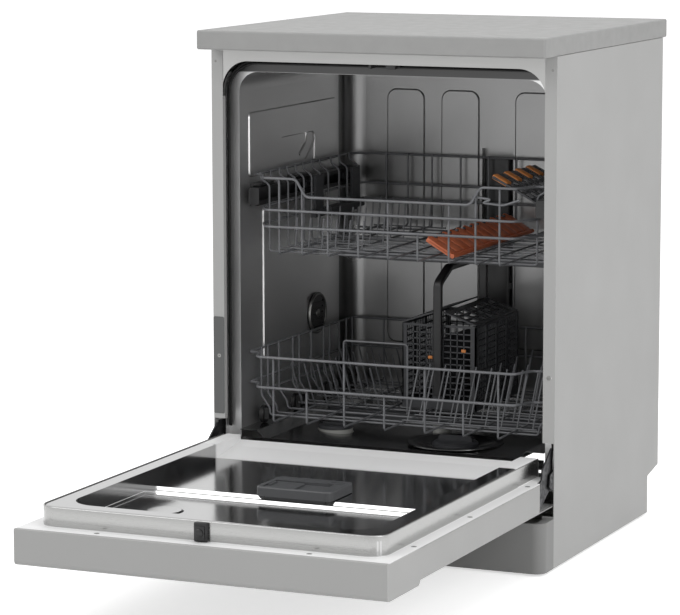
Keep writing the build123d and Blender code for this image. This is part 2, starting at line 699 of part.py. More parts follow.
def crosswise_wire(y, right_side):
    """A wire from one side rail under the basket's floor to the other side rail.

    right_side gives its course down the right-hand side as (x, z) points, ending on the floor.
    """
    right = [(x, y, z) for x, z in right_side]
    left = [(-x, y, z) for x, z in reversed(right_side)]
    return wire(bent(right + left, GRID_BEND), GRID_WIRE, (0, 1, 0))


def tine(x, y, foot, height, lean):
    """One plate tine, leaning back by so many degrees, or forward where that is negative."""
    top = (x, y + height * sin(radians(lean)), foot + height * cos(radians(lean)))
    return wire([(x, y, foot), top], TINE_WIRE, (1, 0, 0))


def tine_row(xs, y, floor, height, lean):
    """A row of tines beside the wire that carries them across the floor."""
    base = floor + 1.5 * GRID_WIRE + TINE_WIRE / 2
    carrier = wire([(xs[0] - 8, y, base), (xs[-1] + 8, y, base)], TINE_WIRE, (0, 1, 0))
    beside = y + copysign(TINE_WIRE + 0.1, lean)
    return [carrier] + [tine(x, beside, base - 0.6, height, lean) for x in xs]


def spaced(first, last, step):
    """Positions from first to last, a step apart."""
    count = int(round((last - first) / step)) + 1
    return [first + step * n for n in range(count)]


def lower_basket_frame():
    """The lower basket's wires: two rails, the floor and side wires, and the plate tines."""
    wires = [basket_rail(LOWER_PLAN, LOWER_RAIL), basket_rail(LOWER_PLAN, LOWER_MIDDLE_RAIL)]
    wires += lengthwise_wires(LOWER_LONG_WIRES, LOWER_PLAN[-1][1], LOWER_FLOOR, LOWER_RAIL)
    side = LOWER_PLAN[0][0] - RAIL_TO_GRID
    course = [(side, LOWER_RAIL + 2), (side, 233), (side - 16, 211), (side - 16, LOWER_FLOOR)]
    for y in LOWER_CROSS_WIRES:
        wires.append(crosswise_wire(y, course))
    for x in (-side - GRID_WIRE, side + GRID_WIRE):
        ends = [(x, LOWER_CROSS_WIRES[1], LOWER_SIDE_WIRE), (x, LOWER_CROSS_WIRES[-1], LOWER_SIDE_WIRE)]
        wires.append(wire(ends, GRID_WIRE, (0, 0, 1)))
    for y in (153, 207):
        wires += tine_row(spaced(6, 226, 27.5), y, LOWER_FLOOR, 92, PLATE_LEAN)
    for y in (241, 317, 393, 469):
        wires += tine_row(spaced(-222, -78, 24), y, LOWER_FLOOR, 88, -PLATE_LEAN)
    for y in (285, 361, 437):
        wires += tine_row(spaced(104, 224, 24), y, LOWER_FLOOR, 88, PLATE_LEAN)
    foot = LOWER_FLOOR + 1.5 * GRID_WIRE
    loop = [(-138, 223, foot), (-138, 223, 321), (-22, 223, 321), (-22, 223, foot)]
    wires.append(wire(bent(loop, 7), GRID_WIRE, (0, 1, 0)))
    return together(*wires)


def wheel_clips():
    """The plastic clips that hold the wheels' axles at the lower basket's bottom corners."""
    clips = []
    for y in WHEEL_STATIONS:
        y0, y1 = clip_span(y)
        clip = block(243, 251.5, y0, y1, 191, 211) + rod_x(4, 251, 260.8, y, WHEEL_HEIGHT)
        clip -= rod_x(2, 242, 250, y, WHEEL_HEIGHT)
        clips.extend((clip, other_side(clip)))
    return together(*clips)


def clip_span(y):
    """How far one wheel clip reaches along the basket, between two side wires."""
    before = max(s for s in LOWER_CROSS_WIRES if s < y)
    after = min(s for s in LOWER_CROSS_WIRES if s > y)
    return max(y - 12, before + 2.4), min(y + 12, after - 2.4)


def wheel_pair(y):
    """Two wheels of the lower basket, one at each side, on the same line."""
    rim = rod_x(WHEEL_RADIUS, 252.3, 260.3, y, WHEEL_HEIGHT)
    rim = fillet(rim.edges().filter_by(GeomType.CIRCLE), 1.2)
    rim -= rod_x(11, 258.3, 262, y, WHEEL_HEIGHT)
    rim += rod_x(6.5, 257, 260.3, y, WHEEL_HEIGHT)
    wheel = rim - rod_x(4.06, 250, 262, y, WHEEL_HEIGHT)
    return together(wheel, other_side(wheel))


def cutlery_basket():
    """The cutlery basket: an open box with slotted windows in its walls and floor."""
    x0, x1 = CUTLERY_X
    y0, y1 = CUTLERY_Y
    z0, z1 = CUTLERY_Z
    box = block(x0, x1, y0, y1, z0, z1)
    box = fillet(box.edges().filter_by(Axis.Z), 5)
    room = block(x0 + CUTLERY_WALL, x1 - CUTLERY_WALL, y0 + CUTLERY_WALL, y1 - CUTLERY_WALL, z0 + 2.5, z1 + 1)
    middle = (x0 + x1) / 2
    box -= room
    box += block(middle - 1, middle + 1, y0 + 2, y1 - 2, z0 + 2, z1 - 25)
    slots = []
    for n in range(9):
        z = z0 + 22 + 12.5 * n
        for a, b in ((x0 + 8, middle - 14), (middle + 14, x1 - 8)):
            slots.append(block(a, b, y0 - 1, y0 + 3, z, z + 8.5))
            slots.append(block(a, b, y1 - 3, y1 + 1, z, z + 8.5))
        for start in (y0 + 10, y0 + 56, y0 + 102, y0 + 148):
            slots.append(block(x0 - 1, x0 + 3, start, start + 40, z, z + 8.5))
            slots.append(block(x1 - 3, x1 + 1, start, start + 40, z, z + 8.5))
    return box - slots


def cutlery_lid(side):
    """One half of the slotted lid, sloping up from its hinge to the middle of the basket."""
    x0, x1 = CUTLERY_X
    edge = x0 + 1.5 if side < 0 else x1 - 1.5
    inner = (x0 + x1) / 2 + side * 9
    top = 372.0
    low = CUTLERY_Z[1] + 0.8
    line = [(edge, low), (edge, low + 2.5), (inner, top), (inner, top - 2.5)]
    lid = along_y(outline(line), CUTLERY_Y[0] + 1, CUTLERY_Y[1] - 1)
    reach = abs(inner - edge)
    for row in range(3):
        for n in range(6):
            x = edge - side * (12 + row * (reach - 18) / 2.6)
            y = CUTLERY_Y[0] + 22 + 31 * n
            lid -= block(x - 5.5, x + 5.5, y - 11, y + 11, low - 5, top + 5)
    return lid


def cutlery_handle():
    """The tall handle over the cutlery basket, from one end to the other."""
    middle = (CUTLERY_X[0] + CUTLERY_X[1]) / 2
    front = CUTLERY_Y[0] - 5.05
    back = CUTLERY_Y[1] + 5.05
    path = FilletPolyline((middle, front, 230), (middle, front, 420), (middle, front + 48, 442),
                          (middle, back, 442), (middle, back, 230), radius=14)
    section = Plane(origin=(middle, front, 230), x_dir=(1, 0, 0), z_dir=(0, 0, 1)) * RectangleRounded(15, 10, 3)
    return sweep(section, path=path)


def upper_basket_frame():
    """The upper basket's wires: a dipped top rail, two lower rails, the floor and the tines."""
    wires = [
        basket_rail(UPPER_PLAN, UPPER_RAIL, UPPER_DIP),
        basket_rail(UPPER_WAIST_PLAN, UPPER_MIDDLE_RAIL),
        basket_rail(UPPER_WAIST_PLAN, UPPER_LOW_RAIL),
    ]
    wires += lengthwise_wires(UPPER_LONG_WIRES, UPPER_PLAN[-1][1], UPPER_FLOOR, UPPER_RAIL)
    top = UPPER_PLAN[2][0] - RAIL_TO_GRID
    waist = UPPER_WAIST_PLAN[0][0] - RAIL_TO_GRID
    course = [(top, UPPER_RAIL + 2), (top, 598), (waist, 588), (waist, UPPER_FLOOR)]
    for y in UPPER_CROSS_WIRES:
        wires.append(crosswise_wire(y, course))
    for y in (140, 228, 316, 404, 492):
        wires += tine_row(spaced(-190, -70, 24), y, UPPER_FLOOR, 52, 10)
    return together(*wires)


def height_adjusters():
    """The moulded side blocks that carry the upper basket's rollers."""
    front = ROLLER_STATIONS["front"]
    rear = ROLLER_STATIONS["rear"]
    plate = block(225, 233.8, front - 26, rear + 28, 516, 528)
    for y in (front, rear):
        plate += block(229, 233.8, y - 16, y + 16, 520, 586)
        plate += rod_x(3, 233, 257.2, y, ROLLER_HEIGHT)
    grip = block(216, 226, front + 20, rear - 26, 514, 530)
    plate += fillet(grip.edges().filter_by(Axis.Y), 3)
    return together(plate, other_side(plate))


def roller_pair(name):
    """Two rollers of the upper basket, one at each side, running inside the guide rails."""
    y = ROLLER_STATIONS[name]
    wheel = rod_x(ROLLER_RADIUS, 249, 256.8, y, ROLLER_HEIGHT)
    wheel = fillet(wheel.edges().filter_by(GeomType.CIRCLE), 1)
    wheel -= rod_x(3.05, 240, 260, y, ROLLER_HEIGHT)
    return together(wheel, other_side(wheel))


def upper_rails():
    """The two channel-shaped guide rails that the upper basket runs in."""
    outer = Pos(252.5, 571) * Rectangle(19, 28)
    room = Pos(252, 571) * Rectangle(14, 24)
    mouth = Pos(243, 571) * Rectangle(6, 15)
    rail = along_y(outer - room - mouth, 118, 532)
    for y in (115, 532):
        rail += fillet(block(243, 262, y, y + 3, 557, 585).edges().filter_by(Axis.Y), 3)
    return together(rail, other_side(rail))


def cup_shelf(y0, y1, hinge, edge):
    """A folding cup shelf: a ribbed plate with a toothed free edge, hinged on its right-hand side.

    hinge and edge give the places of its axis and of its free edge as (x, z).
    """
    run = hinge[0] - edge[0]
    rise = edge[1] - hinge[1]
    length = hypot(run, rise)
    plate = block(-length, -3, y0, y1, -1.2, 1.2)
    count = int((y1 - y0) // 22)
    for n in range(count):
        y = y0 + (n + 0.5) * (y1 - y0) / count
        plate += block(-length, -5, y - 2, y + 2, 1, 3.4)
        plate -= block(-length - 1, 12 - length, y - 7, y - 3.5, -4, 5)
    plate += rod_y(4, y0, y1, 0, 0)
    return Pos(hinge[0], 0, hinge[1]) * Rot(0, degrees(atan2(rise, run)), 0) * plate


def cup_shelf_orange():
    """The long narrow shelf along the middle of the basket floor, with its left edge raised."""
    return cup_shelf(146, 520, ORANGE_HINGE, ORANGE_EDGE)


def cup_shelf_grey():
    """The wide shelf at the right-hand side, held up at a slant."""
    return cup_shelf(206, 410, GREY_HINGE, GREY_EDGE)


def upper_feed_pipe():
    """The flat pipe under the upper basket, from the docking socket to the spray arm's hub."""
    pipe = block(-1, 23, UPPER_ARM[1], 540, 466.2, 475)
    pipe = fillet(pipe.edges().filter_by(Axis.Y), 3)
    mouth = rod_y(4.3, 538, 547, UPPER_ARM[0], 470.6)
    hub = rod_z(17, 466.2, 475.4, *UPPER_ARM)
    axle = rod_z(7, 455, 467, *UPPER_ARM)
    return pipe + mouth + hub + axle


def upper_spray_arm():
    """The spray arm that hangs under the upper basket."""
    upside_down = spray_arm((0, 0), 200, 452, 463, 24, 0, (462, 465.6))
    arm = upside_down - rod_z(7.06, 453.5, 470, 0, 0)
    return Pos(*UPPER_ARM, 0) * arm


def build_parts():
    """Every piece of the machine by its node name."""
    right_panel = side_panel()
    parts = {
        "worktop": worktop(),
        "side_panel_right": right_panel,
        "side_panel_left": other_side(right_panel),
        "back_panel": back_panel(),
        "base_tray": base_tray(),
        "levelling_feet": levelling_feet(),
        "plinth": plinth(),
        "front_frame": front_frame(),
        "tub_wrapper": tub_wrapper(),
        "tub_back": tub_back(),
        "tub_floor": tub_floor(),
        "tub_gasket": tub_gasket(),
        "latch_catch": latch_catch(),
        "sump": sump(),
        "filter_plate": filter_plate(),
        "coarse_filter": coarse_filter(),
        "circulation_pump": circulation_pump(),
        "drain_pump": drain_pump(),
        "water_softener": water_softener(),
        "salt_cap": salt_cap(),
        "inlet_valve": inlet_valve(),
        "steam_vent": steam_vent(),
        "air_break_chamber": air_break_chamber(),
        "water_duct": water_duct(),
        "rail_brackets": rail_brackets(),
        "hinge_brackets": hinge_brackets(),
        "spring_sleeves": spring_sleeves(),
        "cable_cover": cable_cover(),
        "lower_spray_arm": lower_spray_arm(),
        "door_outer_panel": door_outer_panel(),
        "door_liner": door_liner(),
        "control_fascia": control_fascia(),
        "door_latch": door_latch(),
        "dispenser_body": dispenser_body(),
        "dispenser_lid": dispenser_lid(),
        "rinse_aid_cap": rinse_aid_cap(),
        "hinge_arms": hinge_arms(),
        "door_seal": door_seal(),
        "lower_basket_frame": lower_basket_frame(),
        "wheel_clips": wheel_clips(),
        "cutlery_basket": cutlery_basket(),
        "cutlery_lid_left": cutlery_lid(-1),
        "cutlery_lid_right": cutlery_lid(1),
        "cutlery_handle": cutlery_handle(),
        "upper_basket_frame": upper_basket_frame(),
        "height_adjusters": height_adjusters(),
        "upper_rails": upper_rails(),
        "cup_shelf_orange": cup_shelf_orange(),
        "cup_shelf_grey": cup_shelf_grey(),
        "upper_feed_pipe": upper_feed_pipe(),
        "upper_spray_arm": upper_spray_arm(),
    }
    for name in button_places():
        parts[name + "_button"] = push_button(name)
    for number, y in enumerate(WHEEL_STATIONS, start=1):
        parts["lower_wheels_" + str(number)] = wheel_pair(y)
    for name in ROLLER_STATIONS:
        parts["upper_rollers_" + name] = roller_pair(name)
    return parts


def main():
    """Write one file for each piece."""
    os.makedirs("parts", exist_ok=True)
    for name, piece in build_parts().items():
        export_step(Pos(0, TO_CENTRE, 0) * piece, "parts/" + name + ".step")
        print(name, len(piece.solids()), "solids")


if __name__ == "__main__":
    main()
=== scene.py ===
"""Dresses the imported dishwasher: real materials on every solid, round basket wires and fine fittings."""
import logging
import math
from collections.abc import Sequence
from dataclasses import dataclass, field
from enum import Enum

import bmesh
import bpy
from mathutils import Matrix, Vector


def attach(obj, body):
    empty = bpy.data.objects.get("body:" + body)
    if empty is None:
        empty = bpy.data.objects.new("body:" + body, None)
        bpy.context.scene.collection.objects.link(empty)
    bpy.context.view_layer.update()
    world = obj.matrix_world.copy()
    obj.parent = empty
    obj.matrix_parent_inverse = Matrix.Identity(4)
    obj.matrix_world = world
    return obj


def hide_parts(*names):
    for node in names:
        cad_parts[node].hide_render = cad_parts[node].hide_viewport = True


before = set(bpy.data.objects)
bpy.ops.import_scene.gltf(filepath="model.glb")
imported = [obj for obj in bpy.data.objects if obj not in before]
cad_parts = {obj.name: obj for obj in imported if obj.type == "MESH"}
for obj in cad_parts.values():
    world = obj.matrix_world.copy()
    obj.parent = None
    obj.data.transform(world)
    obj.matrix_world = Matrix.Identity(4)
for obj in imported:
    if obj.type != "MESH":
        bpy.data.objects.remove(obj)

LOG = logging.getLogger("dishwasher")
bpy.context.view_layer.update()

# Metres in a millimetre, and how far the worktop's front edge lies from the origin along y
MM = 0.001
FRONT = 7.0
# Degrees between two faces from which their edge stays crisp
SHARP_FROM = 38.0

# A place as x, y and z, and two values that belong together, such as the ends of a span
Point = tuple[float, float, float]
Pair = tuple[float, float]


class Body(Enum):
    """The moving bodies that new pieces ride on."""

    CABINET = "cabinet"
    DOOR = "door"
    LOWER_BASKET = "lower_basket"
    UPPER_BASKET = "upper_basket"
    UPPER_RAILS = "upper_rails"
    ORANGE_SHELF = "cup_shelf_orange"
    GREY_SHELF = "cup_shelf_grey"
    WHEELS_1 = "lower_wheels_1"
    WHEELS_2 = "lower_wheels_2"
    WHEELS_3 = "lower_wheels_3"
    WHEELS_4 = "lower_wheels_4"


class Along(Enum):
    """One of the model's three directions."""

    X = 0
    Y = 1
    Z = 2


def place(x: float, y: float, z: float) -> Vector:
    """A point given in millimetres, with y measured back from the worktop's front edge.

    Args:
        x: Millimetres to the right of the middle plane.
        y: Millimetres behind the worktop's front edge.
        z: Millimetres above the floor.

    Returns:
        The point in metres in the model's own frame.
    """
    return Vector((x, y + FRONT, z)) * MM


def linear(colour: str) -> tuple[float, float, float, float]:
    """Turns an sRGB hex colour into the linear values that shaders use.

    Args:
        colour: Six hex digits, such as "a8a8a4".

    Returns:
        Linear red, green, blue and an alpha of 1.
    """
    values = [int(colour[n:n + 2], 16) / 255 for n in (0, 2, 4)]
    red, green, blue = [v / 12.92 if v <= 0.04045 else ((v + 0.055) / 1.055) ** 2.4 for v in values]
    return red, green, blue, 1.0


def add_node(tree: bpy.types.NodeTree, kind: str, values: dict | None = None, links: dict | None = None,
             **settings) -> bpy.types.Node:
    """Adds one shader node with its settings, fixed values and incoming links.

    Args:
        tree: The material's node tree.
        kind: The node's type name without its "ShaderNode" prefix.
        values: Fixed values by input name or number.
        links: Output sockets by the input name or number that they feed.
        settings: Attributes of the node itself.

    Returns:
        The new node.
    """
    node = tree.nodes.new("ShaderNode" + kind)
    for name, value in settings.items():
        setattr(node, name, value)
    for name, value in (values or {}).items():
        node.inputs[name].default_value = value
    for name, socket in (links or {}).items():
        tree.links.new(socket, node.inputs[name])
    return node


@dataclass(frozen=True)
class Finish:
    """A surface finish, plain unless a subclass adds detail to it.

    Attributes:
        title: The material's name.
        colour: Its sRGB colour as six hex digits.
        roughness: Its mean roughness.
        slot: The part's material slot that it belongs to; not used.
        metallic: 1 for bare metal and 0 for paint or plastic.
    """

    title: str
    colour: str
    roughness: float
    slot: str
    metallic: float = 0.0

    def material(self) -> bpy.types.Material:
        """Makes the finish's material once, and then shares it.

        Returns:
            The material.
        """
        made = bpy.data.materials.get(self.title)
        if made is None:
            made = bpy.data.materials.new(self.title)
            made.use_nodes = True
            shader = made.node_tree.nodes["Principled BSDF"]
            shader.inputs["Base Color"].default_value = linear(self.colour)
            shader.inputs["Roughness"].default_value = self.roughness
            shader.inputs["Metallic"].default_value = self.metallic
            self.detail(made.node_tree, shader)
        return made

    def detail(self, tree: bpy.types.NodeTree, shader: bpy.types.Node) -> None:
        """Adds what sets this finish apart from a plain one.

        Args:
            tree: The material's node tree.
            shader: The material's Principled node.
        """

    def grain(self, tree: bpy.types.NodeTree, size: float, stretch: tuple[float, float, float] = (1, 1, 1),
              octaves: float = 3.0) -> bpy.types.NodeSocket:
        """A noise whose grains have a real size.

        Args:
            tree: The material's node tree.
            size: The grains' size in millimetres.
            stretch: How much longer the grains are along each axis.
            octaves: How many finer layers are added.

        Returns:
            The noise's value, about 0.5 in the middle.
        """
        where = add_node(tree, "TexCoord").outputs["Object"]
        scale = [1 / (size * MM * s) for s in stretch]
        mapped = add_node(tree, "Mapping", {"Scale": scale}, {"Vector": where})
        noise = add_node(tree, "TexNoise", {"Scale": 1.0, "Detail": octaves}, {"Vector": mapped.outputs[0]})
        return noise.outputs[0]

    def spread(self, tree: bpy.types.NodeTree, value: bpy.types.NodeSocket, low: float,
               high: float) -> bpy.types.NodeSocket:
        """Maps the middle of a noise onto a range of values."""
        ramp = add_node(tree, "MapRange", {"From Min": 0.3, "From Max": 0.7, "To Min": low, "To Max": high},
                        {"Value": value})
        return ramp.outputs[0]

    def relief(self, tree: bpy.types.NodeTree, shader: bpy.types.Node, height: bpy.types.NodeSocket,
               depth: float, strength: float) -> None:
        """Feeds a height into the shader's normal; depth is in millimetres."""
        bump = add_node(tree, "Bump", {"Strength": strength, "Distance": depth * MM}, {"Height": height})
        tree.links.new(bump.outputs[0], shader.inputs["Normal"])

    def tint(self, tree: bpy.types.NodeTree, shader: bpy.types.Node, value: bpy.types.NodeSocket,
             other: str) -> None:
        """Lets the colour drift between the finish's own and another one."""
        mix = add_node(tree, "Mix", {6: linear(self.colour), 7: linear(other)}, {0: value}, data_type="RGBA")
        tree.links.new(mix.outputs[2], shader.inputs["Base Color"])


@dataclass(frozen=True)
class PowderCoat(Finish):
    """Polyester powder coat on sheet steel: a faint orange peel breaks up the highlights."""

    peel: float = 1.6
    peel_depth: float = 0.03
    drift: float = 90.0

    def detail(self, tree: bpy.types.NodeTree, shader: bpy.types.Node) -> None:
        """Adds the orange peel and a slow drift in gloss.

        Args:
            tree: The material's node tree.
            shader: The material's Principled node.
        """
        self.relief(tree, shader, self.grain(tree, self.peel, octaves=1.0), self.peel_depth, 0.25)
        drift = self.spread(tree, self.grain(tree, self.drift), self.roughness - 0.04, self.roughness + 0.05)
        tree.links.new(drift, shader.inputs["Roughness"])


@dataclass(frozen=True)
class RolledSteel(Finish):
    """Bright rolled stainless steel: long fine streaks stretch the reflections across the grain.

    The streaks are drawn 0.9 mm wide, because the real ones are too fine to show.
    """

    metallic: float = 1.0
    along: Along = Along.Y
    streak: float = 0.9
    streak_length: float = 70.0
    sheen_range: float = 0.1

    def detail(self, tree: bpy.types.NodeTree, shader: bpy.types.Node) -> None:
        """Adds the rolling streaks.

        Args:
            tree: The material's node tree.
            shader: The material's Principled node.
        """
        stretch = [1.0, 1.0, 1.0]
        stretch[self.along.value] = self.streak_length
        streaks = self.grain(tree, self.streak, tuple(stretch), 2.0)
        low, high = self.roughness - self.sheen_range / 2, self.roughness + self.sheen_range / 2
        tree.links.new(self.spread(tree, streaks, low, high), shader.inputs["Roughness"])
        self.relief(tree, shader, streaks, 0.004, 0.2)


@dataclass(frozen=True)
class BrightSteel(Finish):
    """Bright annealed stainless steel: no grain to see, but slow waves in the sheet bend its reflections."""

    metallic: float = 1.0
    wave: float = 130.0

    def detail(self, tree: bpy.types.NodeTree, shader: bpy.types.Node) -> None:
        """Adds the waves and a slow drift in gloss.

        Args:
            tree: The material's node tree.
            shader: The material's Principled node.
        """
        waves = self.grain(tree, self.wave, octaves=1.0)
        self.relief(tree, shader, waves, 0.6, 0.5)
        tree.links.new(self.spread(tree, waves, self.roughness - 0.03, self.roughness + 0.05),
                       shader.inputs["Roughness"])


@dataclass(frozen=True)
class ShadedSteel(BrightSteel):
    """The same steel, painted a darker grey on the narrow lip over the mouth: painted shade."""

    # Colour and heights of the painted shade on the lip over the mouth
    lip: str = "505050"
    lip_from: float = 776.5
    lip_to: float = 779.0

    def detail(self, tree: bpy.types.NodeTree, shader: bpy.types.Node) -> None:
        """Adds the waves, and painted shade: a darker tone above the ceiling's height.

        Args:
            tree: The material's node tree.
            shader: The material's Principled node.
        """
        super().detail(tree, shader)
        # Painted shade: the sheet is tinted dark grey above the ceiling's height
        where = add_node(tree, "TexCoord").outputs["Object"]
        height = add_node(tree, "SeparateXYZ", links={0: where}).outputs["Z"]
        ends = {"From Min": self.lip_from * MM, "From Max": self.lip_to * MM}
        self.tint(tree, shader, add_node(tree, "MapRange", ends, {"Value": height}).outputs[0], self.lip)


@dataclass(frozen=True)
class RampSteel(BrightSteel):
    """The same steel with a painted reflection on the ramp next to the tub and on the flange round the rim:
    whiter, rougher and less metallic there.
    """

    satin: float = 0.55
    # Near-white colour of the painted reflection on the ramp and the flange
    painted_reflection: str = "f4f4f4"
    ramp_from: float = -52.0
    ramp_to: float = -44.0
    flange: float = 153.0
    flange_reach: float = 0.4

    def detail(self, tree: bpy.types.NodeTree, shader: bpy.types.Node) -> None:
        """Adds the waves, and the painted reflection: the change of colour and gloss on the ramp and on the
        flange.

        Args:
            tree: The material's node tree.
            shader: The material's Principled node.
        """
        waves = self.grain(tree, self.wave, octaves=1.0)
        self.relief(tree, shader, waves, 0.4, 0.4)
        where = add_node(tree, "TexCoord").outputs["Object"]
        parts = add_node(tree, "SeparateXYZ", links={0: where})
        reach = {"From Min": (self.ramp_from + FRONT) * MM, "From Max": (self.ramp_to + FRONT) * MM}
        ramp = add_node(tree, "MapRange", reach, {"Value": parts.outputs["Y"]})
        flange = add_node(tree, "Math", {1: self.flange * MM, 2: self.flange_reach * MM},
                          {0: parts.outputs["Z"]}, operation="COMPARE")
        # Where the painted reflection lies: the ramp or the flange
        painted_reflection = add_node(tree, "Math", links={0: ramp.outputs[0], 1: flange.outputs[0]}, operation="MAXIMUM")
        for socket, low, high in (("Roughness", self.roughness, self.satin), ("Metallic", 1.0, 0.15)):
            change = add_node(tree, "MapRange", {"To Min": low, "To Max": high}, {"Value": painted_reflection.outputs[0]})
            tree.links.new(change.outputs[0], shader.inputs[socket])
        self.tint(tree, shader, painted_reflection.outputs[0], self.painted_reflection)


@dataclass(frozen=True)
class Moulded(Finish):
    """Injection-moulded plastic: a fine spark-eroded grain gives a soft, even highlight."""

    grain_size: float = 0.8
    grain_depth: float = 0.03
    mottle_size: float = 25.0
    other: str = ""

    def detail(self, tree: bpy.types.NodeTree, shader: bpy.types.Node) -> None:
        """Adds the mould's grain and a slight mottle.

        Args:
            tree: The material's node tree.
            shader: The material's Principled node.
        """
        self.relief(tree, shader, self.grain(tree, self.grain_size, octaves=2.0), self.grain_depth, 0.3)
        mottle = self.grain(tree, self.mottle_size)
        tree.links.new(self.spread(tree, mottle, self.roughness - 0.05, self.roughness + 0.06),
                       shader.inputs["Roughness"])
        if self.other:
            self.tint(tree, shader, self.spread(tree, mottle, 0.0, 1.0), self.other)


@dataclass(frozen=True)
class ZincPlate(Finish):
    """Zinc-plated steel: small crystal patches, each with its own gloss."""

    metallic: float = 1.0
    patch: float = 6.0

    def detail(self, tree: bpy.types.NodeTree, shader: bpy.types.Node) -> None:
        """Adds the patches of the plating.

        Args:
            tree: The material's node tree.
            shader: The material's Principled node.
        """
        where = add_node(tree, "TexCoord").outputs["Object"]
        cells = add_node(tree, "TexVoronoi", {"Scale": 1 / (self.patch * MM)}, {"Vector": where})
        patch = add_node(tree, "SeparateColor", links={"Color": cells.outputs["Color"]}).outputs[0]
        tree.links.new(self.spread(tree, patch, self.roughness - 0.08, self.roughness + 0.1),
                       shader.inputs["Roughness"])


# A powder coat: even, silk-matt grey faces whose highlights spread softly
OUTER_PAINT = PowderCoat("grey_powder_coat", "adadac", 0.5, "outer_paint")
DOOR_PAINT = PowderCoat("door_powder_coat", "a8a8a7", 0.5, "door_paint")
# The same coat painted a deeper grey: painted shade on the plinth under the door
PLINTH_PAINTED_SHADE = PowderCoat("plinth_powder_coat", "8a8a89", 0.5, "outer_paint")
# Melamine laminate: the same grey with a fine pebbled grain and a hint of mottle
WORKTOP = Moulded("grey_laminate", "9d9d9c", 0.5, "worktop_laminate", grain_size=1.2, other="9a9a99")
# Bright annealed sheet at the tub's back: soft, slightly bent reflections of the baskets
TUB_STEEL = BrightSteel("bright_stainless_tub", "8e8e8e", 0.3, "stainless")
# The same sheet painted much paler on the tub's side walls than at the back, as painted light, with painted
# shade on the lip over the mouth
WALL_STEEL = ShadedSteel("bright_stainless_walls", "e0e0e0", 0.4, "stainless")
# Rolled sheet round the mouth: a silky sheen streaked from side to side
FRAME_STEEL = RolledSteel("rolled_stainless_frame", "ababaa", 0.36, "stainless", along=Along.X)
# The door rim's outer band: the same streaks, polished enough to mirror the pale room
RIM_STEEL = RolledSteel("rolled_stainless_rim", "a8a8a7", 0.26, "stainless", along=Along.X)
# The tub's floor: streaks that run from front to back
FLOOR_STEEL = RolledSteel("rolled_stainless_lengthwise", "9a9a9a", 0.22, "stainless", along=Along.Y)
# The door's pan: nearly a mirror, apart from the ramp and flange, which carry a painted reflection
LINER_STEEL = RampSteel("bright_stainless_liner", "b8b8b8", 0.13, "stainless")
# Plain and black zinc plate: small patches that glint one after another
ZINC = ZincPlate("zinc_plated_steel", "8f8f8d", 0.4, "zinc_steel")
BLACKENED_STEEL = ZincPlate("black_zinc_plated_steel", "38383a", 0.45, "zinc_steel")
# Polypropylene in black, dark grey and its own milky colour: a waxy, even highlight
BLACK_PLASTIC = Moulded("black_polypropylene", "1a1a1b", 0.36, "black_plastic")
DARK_PLASTIC = Moulded("dark_grey_polypropylene", "3c3d40", 0.48, "dark_grey_plastic", other="37383b")
COVER_PLASTIC = Moulded("cover_strip_plastic", "5a5b5b", 0.5, "dark_grey_plastic")
PALE_PLASTIC = Moulded("natural_polypropylene", "b2b2ae", 0.55, "pale_plastic", other="a8a8a4")
# Acetal: a little glossier than the plastics round it
DISPENSER_PLASTIC = Moulded("grey_acetal", "4a4b4d", 0.4, "dispenser_grey")
# ABS with a finer grain: crisp highlights on the buttons
BUTTON_PLASTIC = Moulded("button_abs", "77777a", 0.35, "button_grey", grain_size=0.5)
# EPDM rubber: almost no highlight, so that the seal reads as a black line
RUBBER = Moulded("black_epdm_rubber", "0d0d0d", 0.65, "seal_rubber", grain_size=1.5)
# Nylon powder melted on to the wires: smooth, soft-edged glints along every bar
WIRE_COATING = Moulded("grey_nylon_coating", "6e6f72", 0.38, "wire_coating", grain_size=1.0, other="646568")
# Coloured polypropylene and its softer tips: warm, matt accents among the greys
TERRACOTTA = Moulded("terracotta_polypropylene", "d87a54", 0.5, "terracotta", other="c4633c")
ORANGE_TIP = Moulded("orange_soft_plastic", "e08e4a", 0.5, "terracotta")


def dress(finish: Finish, *nodes: str) -> None:
    """Gives carried-over solids their finish.

    Args:
        finish: The finish.
        nodes: Names of the nodes.
    """
    for name in nodes:
        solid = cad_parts[name]
        solid.data.materials.clear()
        solid.data.materials.append(finish.material())
        LOG.info("dressed %s in %s", name, finish.title)


def finished(name: str, mesh: bmesh.types.BMesh, finish: Finish, body: Body,
             *replaced: str) -> bpy.types.Object:
    """Turns a bmesh into a piece of the machine.

    Args:
        name: The piece's name.
        mesh: Its shape in metres, in place.
        finish: Its finish.
        body: The body it rides on.
        replaced: The nodes that it stands for.

    Returns:
        The new piece.
    """
    data = bpy.data.meshes.new(name)
    mesh.to_mesh(data)
    mesh.free()
    data.shade_smooth()
    data.set_sharp_from_angle(angle=math.radians(SHARP_FROM))
    data.materials.append(finish.material())
    piece = bpy.data.objects.new(name, data)
    bpy.context.scene.collection.objects.link(piece)
    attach(piece, body.value)
    if replaced:
        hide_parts(*replaced)
    LOG.info("built %s with %d faces", name, len(data.polygons))
    return piece


